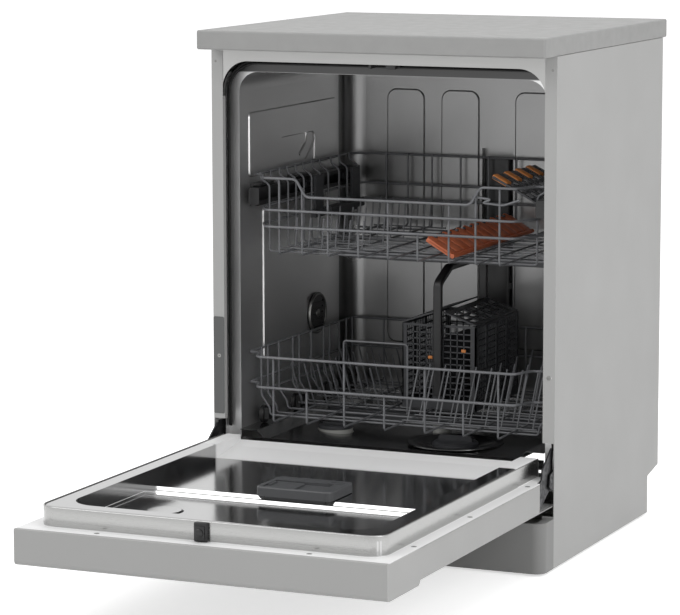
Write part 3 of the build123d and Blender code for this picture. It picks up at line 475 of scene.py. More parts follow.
@dataclass
class WireBundle:
    """Bent round wires of one thickness, in millimetres.

    Attributes:
        thickness: A wire's diameter.
        bend: How far from a corner its bend begins.
        steps: How many flats a bend has.
        height: For an upright ribbon instead of a round wire, its height.
        courses: The corners of each wire.
    """

    thickness: float
    bend: float = 8.0
    steps: int = 3
    height: float = 0.0
    courses: list[list[Point]] = field(default_factory=list)

    def add(self, *points: Point) -> None:
        """Adds one wire by the corners of its course, in millimetres."""
        self.courses.append(list(points))

    def draw_into(self, mesh: bmesh.types.BMesh) -> None:
        """Draws every wire as a round bar with rounded bends.

        Args:
            mesh: The bmesh that takes the wires.
        """
        curve = bpy.data.curves.new("wire", "CURVE")
        curve.dimensions = "3D"
        curve.bevel_depth = self.thickness / 2 * MM
        curve.extrude = self.height / 2 * MM
        curve.twist_mode = "Z_UP" if self.height else "MINIMUM"
        curve.bevel_resolution = 2
        curve.resolution_u = self.steps
        curve.use_fill_caps = True
        for course in self.courses:
            self.draw_course(curve, [place(*point) for point in course])
        holder = bpy.data.objects.new("wire", curve)
        bpy.context.scene.collection.objects.link(holder)
        bpy.context.view_layer.update()
        drawn = bpy.data.meshes.new_from_object(holder)
        drawn.shade_smooth()
        mesh.from_mesh(drawn)
        bpy.data.objects.remove(holder)
        bpy.data.curves.remove(curve)
        bpy.data.meshes.remove(drawn)

    def draw_course(self, curve: bpy.types.Curve, corners: list[Vector]) -> None:
        """Adds one wire to the curve, with a rounded bend at each corner.

        Args:
            curve: The curve that takes the wire.
            corners: The wire's corners, in metres.
        """
        knots = [(corners[0], corners[0], corners[0].lerp(corners[1], 0.1))]
        for before, corner, after in zip(corners, corners[1:], corners[2:]):
            inward, outward = (corner - before), (after - corner)
            reach = min(self.bend * MM, inward.length * 0.45, outward.length * 0.45)
            start = corner - inward.normalized() * reach
            end = corner + outward.normalized() * reach
            knots.append((start, start.lerp(before, 0.1), start.lerp(corner, 0.55)))
            knots.append((end, end.lerp(corner, 0.55), end.lerp(after, 0.1)))
        knots.append((corners[-1], corners[-1].lerp(corners[-2], 0.1), corners[-1]))
        spline = curve.splines.new("BEZIER")
        spline.bezier_points.add(len(knots) - 1)
        for point, (where, left, right) in zip(spline.bezier_points, knots):
            point.handle_left_type = "FREE"
            point.handle_right_type = "FREE"
            point.co = where
            point.handle_left = left
            point.handle_right = right


@dataclass
class Moulding:
    """A mesh built up from blocks, bars and turned forms, with every size in millimetres."""

    mesh: bmesh.types.BMesh = field(default_factory=bmesh.new)

    def block(self, xs: Pair, ys: Pair, zs: Pair, edge: float = 0.0) -> list[bmesh.types.BMVert]:
        """Adds a block.

        Args:
            xs: Its lowest and highest x.
            ys: Its lowest and highest y.
            zs: Its lowest and highest z.
            edge: How far its edges are rounded off.

        Returns:
            The block's points.
        """
        made = bmesh.ops.create_cube(self.mesh, size=1.0)["verts"]
        low, high = place(xs[0], ys[0], zs[0]), place(xs[1], ys[1], zs[1])
        bmesh.ops.scale(self.mesh, vec=high - low, verts=made)
        bmesh.ops.translate(self.mesh, vec=(low + high) / 2, verts=made)
        if edge:
            edges = list(dict.fromkeys(e for v in made for e in v.link_edges))
            made = bmesh.ops.bevel(self.mesh, geom=edges, offset=edge * MM, segments=2, profile=0.5,
                                   affect="EDGES", material=-1)["verts"]
        return made

    def turned(self, centre: Point, axis: Along, profile: Sequence[Pair], steps: int = 28) -> None:
        """Adds a form turned round an axis.

        Args:
            centre: A point on the axis.
            axis: The axis's direction.
            profile: The form's outline as (radius, distance along the axis) from the centre.
            steps: The number of flats round it.
        """
        along, aside = Vector((0, 0, 0)), Vector((0, 0, 0))
        along[axis.value] = MM
        aside[(axis.value + 1) % 3] = MM
        middle = place(*centre)
        rim = [self.mesh.verts.new(middle + aside * radius + along * reach) for radius, reach in profile]
        edges = [self.mesh.edges.new(pair) for pair in zip(rim, rim[1:])]
        bmesh.ops.spin(self.mesh, geom=rim + edges, cent=middle, axis=along.normalized(), angle=math.tau,
                       steps=steps, use_merge=True)

    def turn(self, points: list[bmesh.types.BMVert], centre: Point, axis: Along, angle: float) -> None:
        """Turns some points round an axis through centre, by an angle in degrees."""
        turning = Matrix.Rotation(math.radians(angle), 3, axis.name)
        bmesh.ops.rotate(self.mesh, cent=place(*centre), matrix=turning, verts=points)

    def closed(self) -> bmesh.types.BMesh:
        """The finished mesh: doubles merged and every face turned outwards."""
        bmesh.ops.remove_doubles(self.mesh, verts=self.mesh.verts, dist=0.001 * MM)
        bmesh.ops.recalc_face_normals(self.mesh, faces=self.mesh.faces)
        return self.mesh


@dataclass
class Screws:
    """Low-headed screws in one sheet, all facing the same way.

    Attributes:
        axis: The direction that the heads face along.
        rise: How proud of the sheet they stand, less than the gap to what closes over them.
        outward: 1 when they face up the axis and -1 when they face down it.
        radius: A head's radius.
    """

    axis: Along
    rise: float
    outward: float = -1.0
    radius: float = 3.8

    def build(self, name: str, body: Body, *places: Point) -> None:
        """Builds the screws as one piece.

        Args:
            name: The piece's name.
            body: The body they are driven into.
            places: The middle of each head's underside.
        """
        heads = Moulding()
        for centre in places:
            r, top = self.radius, self.outward * self.rise
            profile = [(r, 0), (r * 0.94, top * 0.5), (r * 0.62, top * 0.92), (r * 0.3, top),
                       (r * 0.26, top * 0.5), (0, top * 0.45)]
            heads.turned(centre, self.axis, profile, 16)
        finished(name, heads.closed(), ZINC, body)


@dataclass
class BasketWires:
    """What both baskets' wire frames have in common, in millimetres.

    Attributes:
        back: Where the rails run across at the back.
        rail: The thickness of the rails round the basket.
        grid: The thickness of the wires that cross under it.
        tine: The thickness of the tines.
    """

    back: float = 540.5
    rail: float = 4.4
    grid: float = 3.6
    tine: float = 2.8

    @property
    def to_grid(self) -> float:
        """The distance between a rail's middle line and that of a wire welded to it."""
        return (self.rail + self.grid) / 2

    def rail_course(self, plan: Sequence[Pair], height: float, dip: Sequence[Pair] = ()) -> list[Point]:
        """The course of one rail right round the basket.

        Args:
            plan: The right-hand half of the course as (x, y) points.
            height: The rail's height.
            dip: Points (x, z) of the right half where the rail runs lower across the front.

        Returns:
            The corners of the course.
        """
        right = [(0.15, self.back, height)] + [(x, y, height) for x, y in plan]
        right += [(x, plan[-1][1], z) for x, z in dip]
        return right + [(-x, y, z) for x, y, z in reversed(right)]

    def lengthwise(self, bundle: WireBundle, tops: dict[float, float], front: float, floor: float,
                   back_top: float) -> None:
        """Adds the wires that run down the front, under the basket and up the back, in pairs.

        Args:
            bundle: The wires that take them.
            tops: Their height at the front, by their distance from the middle plane.
            front: Where the rails run across at the front.
            floor: The height of the basket's floor.
            back_top: Their height at the back.
        """
        y0, y1, z = front + self.to_grid, self.back - self.to_grid, floor + self.grid
        for distance, top in tops.items():
            for x in sorted({distance, -distance}):
                bundle.add((x, y0, top + 2), (x, y0, z), (x, y1, z), (x, y1, back_top + 2))

    def crosswise(self, y: float, right_side: list[Pair]) -> list[Point]:
        """The course of a wire at y from one side rail under the basket to the other."""
        right = [(x, y, z) for x, z in right_side]
        return right + [(-x, y, z) for x, _, z in reversed(right)]

    def tine_row(self, bundle: WireBundle, xs: list[float], y: float, floor: float, height: float,
                 lean: float) -> None:
        """Adds a row of tines and the wire that carries them.

        Args:
            bundle: The wires that take them.
            xs: The tines' places along the row.
            y: The row's place.
            floor: The height of the basket's floor.
            height: A tine's length.
            lean: How far they lean back, in degrees.
        """
        base = floor + 1.5 * self.grid + self.tine / 2
        overhang = 8
        bundle.add((xs[0] - overhang, y, base), (xs[-1] + overhang, y, base))
        rise, run = height * math.cos(math.radians(lean)), height * math.sin(math.radians(lean))
        beside, foot = y + math.copysign(self.tine, lean), base - self.tine / 2
        for x in xs:
            bundle.add((x, beside, foot), (x, beside + run, foot + rise))


def spaced(first: float, last: float, step: float) -> list[float]:
    """Positions from first to last, a step apart."""
    return [first + step * n for n in range(int(round((last - first) / step)) + 1)]


@dataclass
class LowerBasket(BasketWires):
    """The lower basket's wires and wheels.

    Attributes:
        plan: The right-hand half of a rail's course as (x, y) points, from back to front.
        top_rail: The height of the upper rail.
        middle_rail: The height of the rail half way down.
        side_wire: The height of the wire along each side.
        floor: The height of the basket's floor.
        lean: How far the tines lean, in degrees.
        front_rows: Where the rows of wide tines at the front stand.
        left_rows: Where the rows beside the cutlery basket stand.
        right_rows: Where the rows at the right stand.
        holder: The left, right and upper ends of the bent holder, and its place.
        cross_stations: Where the cross wires run.
        wheel_stations: Where the wheels' axes lie.
        wheel_x: How far the wheels stand from the middle plane.
        wheel_z: The height of their axes.
    """

    plan: tuple[Pair, ...] = ((259.5, 540.5), (259.5, 110.5), (242, 110.5), (226, 67.5))
    top_rail: float = 311.0
    middle_rail: float = 260.5
    side_wire: float = 238.0
    floor: float = 200.0
    lean: float = 30.0
    front_rows: tuple[float, ...] = (153, 207)
    left_rows: tuple[float, ...] = (241, 317, 393, 469)
    right_rows: tuple[float, ...] = (285, 361, 437)
    holder: tuple[float, float, float, float] = (-138, -22, 321, 223)
    cross_stations: tuple[float, ...] = (147, 173, 217, 274, 300, 350, 403, 429, 470, 502, 528)
    wheel_stations: tuple[float, ...] = (160, 287, 416, 509)
    wheel_x: float = 256.3
    wheel_z: float = 198.3

    def build(self) -> None:
        """Builds the wire frame and dresses the moulded parts."""
        rails, grid, tines = WireBundle(self.rail, 7.0), WireBundle(self.grid, 5.0), WireBundle(self.tine)
        for height in (self.top_rail, self.middle_rail):
            rails.add(*self.rail_course(self.plan, height))
        front_tops = {0: self.middle_rail, 71: self.top_rail, 138: self.middle_rail, 198: self.top_rail}
        self.lengthwise(grid, front_tops, self.plan[-1][1], self.floor, self.top_rail)
        side = self.plan[0][0] - self.to_grid
        course = [(side, self.top_rail + 2), (side, 233), (side - 16, 211), (side - 16, self.floor)]
        for y in self.cross_stations:
            grid.add(*self.crosswise(y, course))
        for x in (-side - self.grid, side + self.grid):
            grid.add((x, self.cross_stations[1] - 4, self.side_wire),
                     (x, self.cross_stations[-1] + 4, self.side_wire))
        foot = self.floor + 4
        left, right, top, y = self.holder
        grid.add((left, y, foot), (left, y, top), (right, y, top), (right, y, foot))
        for rows, xs, height, lean in ((self.front_rows, spaced(6, 226, 27.5), 92, self.lean),
                                       (self.left_rows, spaced(-222, -78, 24), 88, -self.lean),
                                       (self.right_rows, spaced(104, 224, 24), 88, self.lean)):
            for y in rows:
                self.tine_row(tines, xs, y, self.floor, height, lean)
        mesh = bmesh.new()
        for bundle in (rails, grid, tines):
            bundle.draw_into(mesh)
        finished("lower_basket_wires", mesh, WIRE_COATING, Body.LOWER_BASKET, "lower_basket_frame")
        dress(DARK_PLASTIC, "cutlery_lid_left", "cutlery_lid_right")
        dress(BLACK_PLASTIC, "wheel_clips", "cutlery_handle")
        pairs = (Body.WHEELS_1, Body.WHEELS_2, Body.WHEELS_3, Body.WHEELS_4)
        for body, y in zip(pairs, self.wheel_stations):
            self.wheels(body, y)

    def wheels(self, body: Body, y: float) -> None:
        """Builds a pair of wheels with a sunk web, a hub and six spokes.

        Args:
            body: The pair's own body.
            y: The place of their axis.
        """
        pair = Moulding()
        for side in (-1, 1):
            x = side * self.wheel_x
            rim = [(4.1, -4), (13.8, -4), (15, -3), (15, 3), (13.8, 4), (11.6, 4), (11, 3.4), (11, 0.6),
                   (6.6, 0.6), (6.4, 3.4), (5.8, 4), (4.1, 4), (4.1, -4)]
            pair.turned((x, y, self.wheel_z), Along.X, [(radius, side * reach) for radius, reach in rim])
            for n in range(6):
                spoke = pair.block(sorted((x + side * 0.4, x + side * 3.2)), (y - 0.9, y + 0.9),
                                   (self.wheel_z + 6, self.wheel_z + 11.3))
                pair.turn(spoke, (x, y, self.wheel_z), Along.X, 60 * n)
        finished(body.value + "_spoked", pair.closed(), BLACK_PLASTIC, body, body.value)


@dataclass
class CutleryBasket:
    """The cutlery basket: latticed windows between posts, over a slatted floor.

    Attributes:
        xs: Its left and right faces.
        ys: Its front and back faces.
        zs: Its bottom and top.
        wall: The thickness of its walls.
        pitch: The distance between two bars of a window.
        skirt: The height of the solid part of the walls, below the windows.
        clips: The x, height and finish of each coloured clip on the front, by name.
    """

    xs: Pair = (-52.0, 81.0)
    ys: Pair = (273.0, 473.0)
    zs: Pair = (206.2, 350.0)
    wall: float = 2.6
    pitch: float = 10.4
    skirt: float = 16.0
    clips: tuple[tuple[str, float, float, Finish], ...] = (
        ("left", -1, 294, ORANGE_TIP),
        ("middle", 10, 299, PALE_PLASTIC),
        ("right", 59, 308, ORANGE_TIP),
    )

    def build(self) -> None:
        """Builds the basket and its three coloured clips."""
        basket = Moulding()
        x0, x1 = self.xs
        y0, y1 = self.ys
        for ys in ((y0, y0 + self.wall), (y1 - self.wall, y1)):
            self.lattice(basket, Along.X, self.xs, ys, [(x0 + 8, x0 + 55), (x0 + 75, x1 - 10)])
        for xs in ((x0, x0 + self.wall), (x1 - self.wall, x1)):
            windows = [(y + 5, y + 43) for y in (y0 + 3, y0 + 51, y0 + 99, y0 + 149)]
            self.lattice(basket, Along.Y, self.ys, xs, windows)
        for x in (x0 + 1, x1 - 4):
            for y in (y0 + 1, y1 - 4):
                basket.block((x - 0.6, x + 3.6), (y - 0.6, y + 3.6), self.zs, 1.2)
        middle = (x0 + x1) / 2
        basket.block((middle - 1, middle + 1), (y0 + 2, y1 - 2), (self.zs[0] + 2, self.zs[1] - 25))
        for x in spaced(x0 + 6, x1 - 6, 11):
            basket.block((x - 2.5, x + 2.5), (y0 + 1, y1 - 1), (self.zs[0], self.zs[0] + 2.5))
        for y in spaced(y0 + 12, y1 - 12, 22):
            basket.block((x0 + 1, x1 - 1), (y - 1.5, y + 1.5), (self.zs[0] + 0.6, self.zs[0] + 3.4))
        finished("cutlery_basket_latticed", basket.closed(), DARK_PLASTIC, Body.LOWER_BASKET,
                 "cutlery_basket")
        for name, x, z, finish in self.clips:
            clip = Moulding()
            clip.block((x - 4, x + 4), (y0 - 1.6, y0 + 0.6), (z - 2.6, z + 2.6), 0.7)
            finished("cutlery_clip_" + name, clip.closed(), finish, Body.LOWER_BASKET)

    def lattice(self, basket: Moulding, run: Along, ends: Pair, depth: Pair, windows: list[Pair]) -> None:
        """Adds one wall: solid between its windows, and a grid of fine bars in each.

        Args:
            basket: The moulding that takes the wall.
            run: The direction that the wall runs in, X or Y.
            ends: Where the wall begins and ends.
            depth: Its two faces.
            windows: Where each window begins and ends along the wall.
        """
        def panel(along: Pair, zs: Pair, across: Pair) -> None:
            """Adds one flat piece of the wall."""
            basket.block(*((along, across) if run is Along.X else (across, along)), zs)

        bottom, top = self.zs[0] + self.skirt, self.zs[1] - 4
        panel(ends, (self.zs[0], bottom), depth)
        panel(ends, (top, self.zs[1]), depth)
        edges = [ends[0]] + [edge for window in windows for edge in window] + [ends[1]]
        for first, last in zip(edges[::2], edges[1::2]):
            panel((first, last), (bottom, top), depth)
        inset = (depth[0] + 0.4, depth[1] - 0.4)
        for first, last in windows:
            for z in spaced(bottom + self.pitch - 1, top - self.pitch + 1, self.pitch):
                panel((first, last), (z - 1.1, z + 1.1), inset)
            step = (last - first) / 4
            for n in (1, 2, 3):
                panel((first + n * step - 0.9, first + n * step + 0.9), (bottom, top), inset)


@dataclass
class UpperBasket(BasketWires):
    """The upper basket's wires, and the finishes of its rails and spray arm.

    Attributes:
        plan: The right-hand half of the top rail's course as (x, y) points, from back to front.
        waist_plan: The same for the two lower rails, which run further in.
        top_rail: The height of the top rail.
        dip: Points (x, height) of the right half where the top rail runs lower across the front.
        middle_rail: The height of the middle rail.
        low_rail: The height of the lowest rail.
        floor: The height of the basket's floor.
        cross_stations: Where the cross wires run.
        tine_rows: Where the rows of tines stand.
        cup_rest: The (x, height) points of the bent wire at the front.
    """

    plan: tuple[Pair, ...] = ((228, 540.5), (248, 532), (256.5, 512), (256.5, 128.5), (241, 128.5),
                              (220, 82.5))
    waist_plan: tuple[Pair, ...] = ((240.5, 540.5), (240.5, 128.5), (217, 82.5))
    top_rail: float = 606.0
    dip: tuple[Pair, ...] = ((161, 606), (144, 577))
    middle_rail: float = 553.5
    low_rail: float = 526.0
    floor: float = 478.0
    cross_stations: tuple[float, ...] = (142, 181, 216, 248, 280, 312, 348, 382, 428, 463, 508)
    tine_rows: tuple[float, ...] = (140, 228, 316, 404, 492)
    cup_rest: tuple[Pair, ...] = ((147, 590), (179, 587), (163, 581), (199, 578), (227, 588))

    def build(self) -> None:
        """Builds the wire frame and dresses the moulded parts."""
        rails, grid, tines = WireBundle(self.rail, 7.0), WireBundle(self.grid, 5.0), WireBundle(self.tine)
        rails.add(*self.rail_course(self.plan, self.top_rail, self.dip))
        for height in (self.middle_rail, self.low_rail):
            rails.add(*self.rail_course(self.waist_plan, height))
        front_tops = {0: 577, 52: self.low_rail, 106: 577, 152: 590, 193: self.top_rail}
        self.lengthwise(grid, front_tops, self.plan[-1][1], self.floor, self.top_rail)
        top, waist = self.plan[2][0] - self.to_grid, self.waist_plan[0][0] - self.to_grid
        course = [(top, self.top_rail + 2), (top, 598), (waist, 588), (waist, self.floor)]
        for y in self.cross_stations:
            grid.add(*self.crosswise(y, course))
        for y in self.tine_rows:
            self.tine_row(tines, spaced(-190, -70, 24), y, self.floor, 52, 10)
        front = self.plan[-1][1] + self.to_grid
        grid.add(*[(x, front, z) for x, z in self.cup_rest])
        mesh = bmesh.new()
        for bundle in (rails, grid, tines):
            bundle.draw_into(mesh)
        finished("upper_basket_wires", mesh, WIRE_COATING, Body.UPPER_BASKET, "upper_basket_frame")
        dress(DARK_PLASTIC, "height_adjusters", "upper_feed_pipe", "upper_spray_arm", "upper_rollers_front",
              "upper_rollers_rear")
        dress(BLACK_PLASTIC, "upper_rails")


@dataclass
class CupShelf:
    """What the two folding cup shelves share: a slotted plate built flat and then swung up on its hinge.

    Attributes:
        hinge: The x and height of the hinge's axis.
        edge: The x and height of the free edge at rest.
        ys: The shelf's front and back ends.
        body: The body that it swings with.
    """

    hinge: Pair
    edge: Pair
    ys: Pair
    body: Body

    @property
    def length(self) -> float:
        """How far the plate reaches from its hinge."""
        return math.dist(self.hinge, self.edge)

    def spot(self, reach: Pair) -> Pair:
        """The x values of a span that is measured from the hinge."""
        return self.hinge[0] - reach[1], self.hinge[0] - reach[0]

    def rise(self, low: float, high: float) -> Pair:
        """The z values of a span that is measured from the hinge."""
        return self.hinge[1] + low, self.hinge[1] + high

    def swung(self, shelf: Moulding) -> bmesh.types.BMesh:
        """Swings the shelf from flat to where the hinge holds it.

        Args:
            shelf: The shelf or its fittings, built flat.

        Returns:
            The finished mesh.
        """
        angle = math.degrees(math.atan2(self.edge[1] - self.hinge[1], self.hinge[0] - self.edge[0]))
        shelf.turn(list(shelf.mesh.verts), (self.hinge[0], 0, self.hinge[1]), Along.Y, angle)
        return shelf.closed()

    def hinge_bar(self, shelf: Moulding, radius: float) -> None:
        """Adds the round bar that clips on to the basket's wire."""
        half = (self.ys[1] - self.ys[0]) / 2
        shelf.turned((self.hinge[0], self.ys[0] + half, self.hinge[1]), Along.Y,
                     [(0, -half), (radius, -half), (radius, half), (0, half)], 14)


@dataclass
class OrangeShelf(CupShelf):
    """The long shelf along the middle: broad slats with a scalloped free edge and dark pegs.

    Attributes:
        slats: The number of slats.
        slat_profile: The outline of a slat's round end as (radius, height).
        peg_profile: A peg's outline as (radius, height).
    """

    hinge: Pair = (88.3, 484.4)
    edge: Pair = (41.0, 512.0)
    ys: Pair = (146.0, 520.0)
    body: Body = Body.ORANGE_SHELF
    slats: int = 12
    slat_profile: tuple[Pair, ...] = ((0, -1.0), (9.6, -1.0), (10.2, -0.3), (10.2, 1.2), (9.4, 2.0),
                                      (0, 2.2))
    peg_profile: tuple[Pair, ...] = ((0, -2.0), (2.6, -2.0), (2.6, 3.4), (1.9, 4.4), (0, 4.6))

    def build(self) -> None:
        """Builds the shelf and its pegs."""
        shelf, pegs = Moulding(), Moulding()
        pitch = (self.ys[1] - self.ys[0]) / self.slats
        shelf.block(self.spot((3, self.length - 9)), self.ys, self.rise(-1.1, 0.3))
        for n in range(self.slats):
            y = self.ys[0] + (n + 0.5) * pitch
            shelf.block(self.spot((5, self.length - 7)), (y - pitch / 2 + 1, y + pitch / 2 - 1),
                        self.rise(-0.8, 1.9), 0.9)
            shelf.turned((self.hinge[0] - self.length + 9, y, self.hinge[1]), Along.Z, self.slat_profile, 20)
            if n:
                pegs.turned((self.hinge[0] - self.length + 6, y - pitch / 2, self.hinge[1]), Along.Z,
                            self.peg_profile, 12)
        shelf.block(self.spot((2, self.length - 3)), (self.ys[0], self.ys[0] + 3), self.rise(-4.2, 3.0), 1.0)
        self.hinge_bar(shelf, 3.8)
        finished("cup_shelf_orange_slatted", self.swung(shelf), TERRACOTTA, self.body, "cup_shelf_orange")
        finished("cup_shelf_orange_pegs", self.swung(pegs), DARK_PLASTIC, self.body)


@dataclass
class GreyShelf(CupShelf):
    """The wide shelf at the right: four broad fingers with soft orange tips.

    Attributes:
        fingers: The number of fingers.
        bars: How far from the hinge each cross bar starts.
        bar: The width of a cross bar.
    """

    hinge: Pair = (224.6, 562.0)
    edge: Pair = (131.0, 610.0)
    ys: Pair = (208.0, 412.0)
    body: Body = Body.GREY_SHELF
    fingers: int = 4
    bars: tuple[float, ...] = (44, 62, 80)
    bar: float = 6.0

    def build(self) -> None:
        """Builds the slotted plate and the four tips."""
        shelf, tips = Moulding(), Moulding()
        pitch = (self.ys[1] - self.ys[0]) / self.fingers
        reach = self.length
        shelf.block(self.spot((3, 30)), self.ys, self.rise(-1.3, 1.3), 0.6)
        for n in range(self.fingers):
            y0, y1 = self.ys[0] + n * pitch + 2, self.ys[0] + (n + 1) * pitch - 2
            for ys in ((y0, y0 + 7), (y1 - 7, y1), ((y0 + y1) / 2 - 3, (y0 + y1) / 2 + 3)):
                shelf.block(self.spot((26, reach - 12)), ys, self.rise(-1.6, 2.2), 0.8)
            for start in self.bars:
                shelf.block(self.spot((start, start + self.bar)), (y0 + 2, y1 - 2), self.rise(-1.0, 1.2))
            shelf.block(self.spot((reach - 14, reach - 1)), (y0 + 1, y1 - 1), self.rise(-2.6, 2.6), 2.0)
            tips.block(self.spot((reach - 30, reach)), (y0 + 2, y0 + 22), self.rise(-3.6, 4.6), 3.0)
        self.hinge_bar(shelf, 3.8)
        finished("cup_shelf_grey_slotted", self.swung(shelf), DARK_PLASTIC, self.body, "cup_shelf_grey")
        finished("cup_shelf_grey_tips", self.swung(tips), ORANGE_TIP, self.body)


@dataclass
class Cabinet:
    """The outer case, the tub and the machinery under it.

    Attributes:
        seal_beads: The thickness, half width, top and place of the seal's foot and of its lip.
        seal_end: The height at which the seal ends at either side.
        wall: How far the beads' middle line stands from the middle plane.
        wall_courses: The (y, height) corners of each bead in a side wall.
        vent: The middle of the vent's grille.
        catch_plate: The height of the plate that carries the catch.
        catch_nose: The height of the catch's lower edge.
        hook_room: The left and right ends and the top of the room left for the hook.
        screws: The middle of each screw's underside.
    """

    seal_beads: tuple[tuple[float, float, float, float], ...] = ((5.4, 287.4, 796.2, 93.2),
                                                                 (3.4, 284.0, 792.6, 89.4))
    seal_end: float = 188.0
    wall: float = 270.0
    wall_courses: tuple[tuple[Pair, ...], ...] = (
        ((300, 703), (322, 699), (352, 686), (364, 664), (360, 640), (332, 620)),
        ((470, 660), (430, 660), (399, 652), (384, 630), (352, 604)),
        ((262, 658), (196, 658), (184, 646), (184, 606)),
    )
    vent: Point = (-264, 399, 337)
    catch_plate: float = 806.0
    catch_nose: float = 791.0
    hook_room: tuple[float, float, float] = (-17.5, 7.5, 797.5)
    screws: tuple[Point, ...] = ((-292, 57, 797), (292, 57, 797), (-289, 56, 311), (289, 56, 311))

    def build(self) -> None:
        """Dresses every fixed part of the cabinet."""
        dress(WORKTOP, "worktop")
        dress(OUTER_PAINT, "side_panel_left", "side_panel_right", "back_panel")
        # The plinth takes the darker coat: painted shade under the door
        dress(PLINTH_PAINTED_SHADE, "plinth")
        dress(FRAME_STEEL, "front_frame")
        dress(WALL_STEEL, "tub_wrapper")
        dress(TUB_STEEL, "tub_back")
        dress(FLOOR_STEEL, "tub_floor", "filter_plate")
        dress(BLACKENED_STEEL, "hinge_brackets")
        dress(COVER_PLASTIC, "cable_cover")
        dress(BLACK_PLASTIC, "water_duct", "rail_brackets", "steam_vent", "spring_sleeves",
              "levelling_feet")
        dress(DARK_PLASTIC, "coarse_filter", "salt_cap", "lower_spray_arm")
        dress(PALE_PLASTIC, "air_break_chamber", "water_softener", "inlet_valve", "sump", "base_tray",
              "circulation_pump", "drain_pump")
        self.gasket()
        self.wall_beads()
        self.vent_ring()
        self.catch()
        Screws(Along.Y, rise=0.8).build("frame_screws", Body.CABINET, *self.screws)

    def gasket(self) -> None:
        """Builds the seal round the mouth: a round foot in the corner of the step and a thinner lip."""
        mesh, end = bmesh.new(), self.seal_end
        for thickness, half, top, y in self.seal_beads:
            bead = WireBundle(thickness, 50.0, 10)
            bead.add((-half, y, end), (-half, y, top), (half, y, top), (half, y, end))
            bead.draw_into(mesh)
        finished("tub_seal", mesh, RUBBER, Body.CABINET, "tub_gasket")

    def wall_beads(self) -> None:
        """Presses stiffening beads into both side walls, as far proud as the drawn sheet allows."""
        mesh = bmesh.new()
        for side in (-1, 1):
            bead = WireBundle(6.0, 16.0, 6)
            for course in self.wall_courses:
                bead.add(*[(side * self.wall, y, z) for y, z in course])
            bead.draw_into(mesh)
        finished("tub_wall_beads", mesh, WALL_STEEL, Body.CABINET)

    def catch(self) -> None:
        """Builds the catch: a plate with a ribbed nose below it, and room for the hook in its middle."""
        catch = Moulding()
        nose, plate, half_rib = self.catch_nose, self.catch_plate, 1.2
        left, right, room = self.hook_room
        catch.block((-24, 26), (59, 84), (plate, plate + 11), 1.0)
        for xs, low in (((-22, left), nose), ((left, right), room), ((right, 24), nose)):
            catch.block(xs, (59.4, 66), (low, plate + 1), 1.2)
            catch.block(xs, (78, 84), (low + 1, plate + 1), 1.0)
        for x in spaced(-19, 21, 8):
            low = room if left < x < right else nose + 0.5
            catch.block((x - half_rib, x + half_rib), (60, 83), (low, plate - 4), 0.4)
        finished("latch_catch_ribbed", catch.closed(), BLACK_PLASTIC, Body.CABINET, "latch_catch")

    def vent_ring(self) -> None:
        """Builds the bright ring round the vent's grille and the boss in its middle."""
        ring = Moulding()
        rim = [(31.5, -1), (31.8, 0.9), (33, 1.6), (35, 1.2), (36.4, -0.6), (36.4, -2)]
        boss = [(7, -1), (6.6, 0.8), (4.5, 1.5), (0, 1.7)]
        ring.turned(self.vent, Along.X, rim, 48)
        ring.turned(self.vent, Along.X, boss, 24)
        finished("vent_ring", ring.closed(), ZINC, Body.CABINET)


@dataclass
class Door:
    """The lowered door.

    Attributes:
        flange: The height of the liner's flange.
        flange_screws: The (x, y) places of the screws in it.
        band: How far the rim's outer band stands from the middle plane, and its back and front ends.
        band_middle: The height of the band's middle line.
        hook: The middle of the latch's hook.
        hook_profile: The hook's outline as (radius, distance).
    """

    flange: float = 153.0
    flange_screws: tuple[Pair, ...] = ((-170, -600), (170, -600), (-288, -498), (-288, -279), (-288, -33),
                                       (288, -498), (288, -279), (288, -33))
    band: tuple[float, float, float] = (276.2, 44, -586.2)
    band_middle: float = 168.5
    hook: Point = (-5, -597, 167)
    hook_profile: tuple[Pair, ...] = ((0, -3), (4.6, -3), (6.2, -2), (6.4, -1), (3.2, 0.4), (3, 3))

    def build(self) -> None:
        """Dresses every part of the door."""
        dress(DOOR_PAINT, "door_outer_panel", "control_fascia")
        dress(LINER_STEEL, "door_liner")
        dress(BLACKENED_STEEL, "hinge_arms")
        dress(RUBBER, "door_seal")
        dress(DISPENSER_PLASTIC, "dispenser_body", "dispenser_lid", "rinse_aid_cap")
        dress(BUTTON_PLASTIC, "power_button", "programme_button", "start_button")
        self.latch()
        self.rim_hem()
        places = [(x, y, self.flange) for x, y in self.flange_screws]
        Screws(Along.Z, rise=0.4, outward=1.0, radius=4.2).build("liner_screws", Body.DOOR, *places)

    def rim_hem(self) -> None:
        """Builds the rim's upright outer band, with its crisp folded upper edge."""
        half, back, front = self.band
        z = self.band_middle
        hem = WireBundle(2.4, bend=28.0, steps=8, height=27.0)
        hem.add((-half, back, z), (-half, front, z), (half, front, z), (half, back, z))
        mesh = bmesh.new()
        hem.draw_into(mesh)
        finished("liner_rim_hem", mesh, RIM_STEEL, Body.DOOR)

    def latch(self) -> None:
        """Builds the latch: a rounded housing with a mushroom-shaped hook before it."""
        latch = Moulding()
        latch.block((-16, 6), (-594, -587.2), (self.flange, 182), 2.4)
        latch.block((-13, 3), (-597, -593), (156, 177), 1.6)
        latch.turned(self.hook, Along.Y, self.hook_profile, 24)
        finished("door_latch_hook", latch.closed(), BLACK_PLASTIC, Body.DOOR, "door_latch")


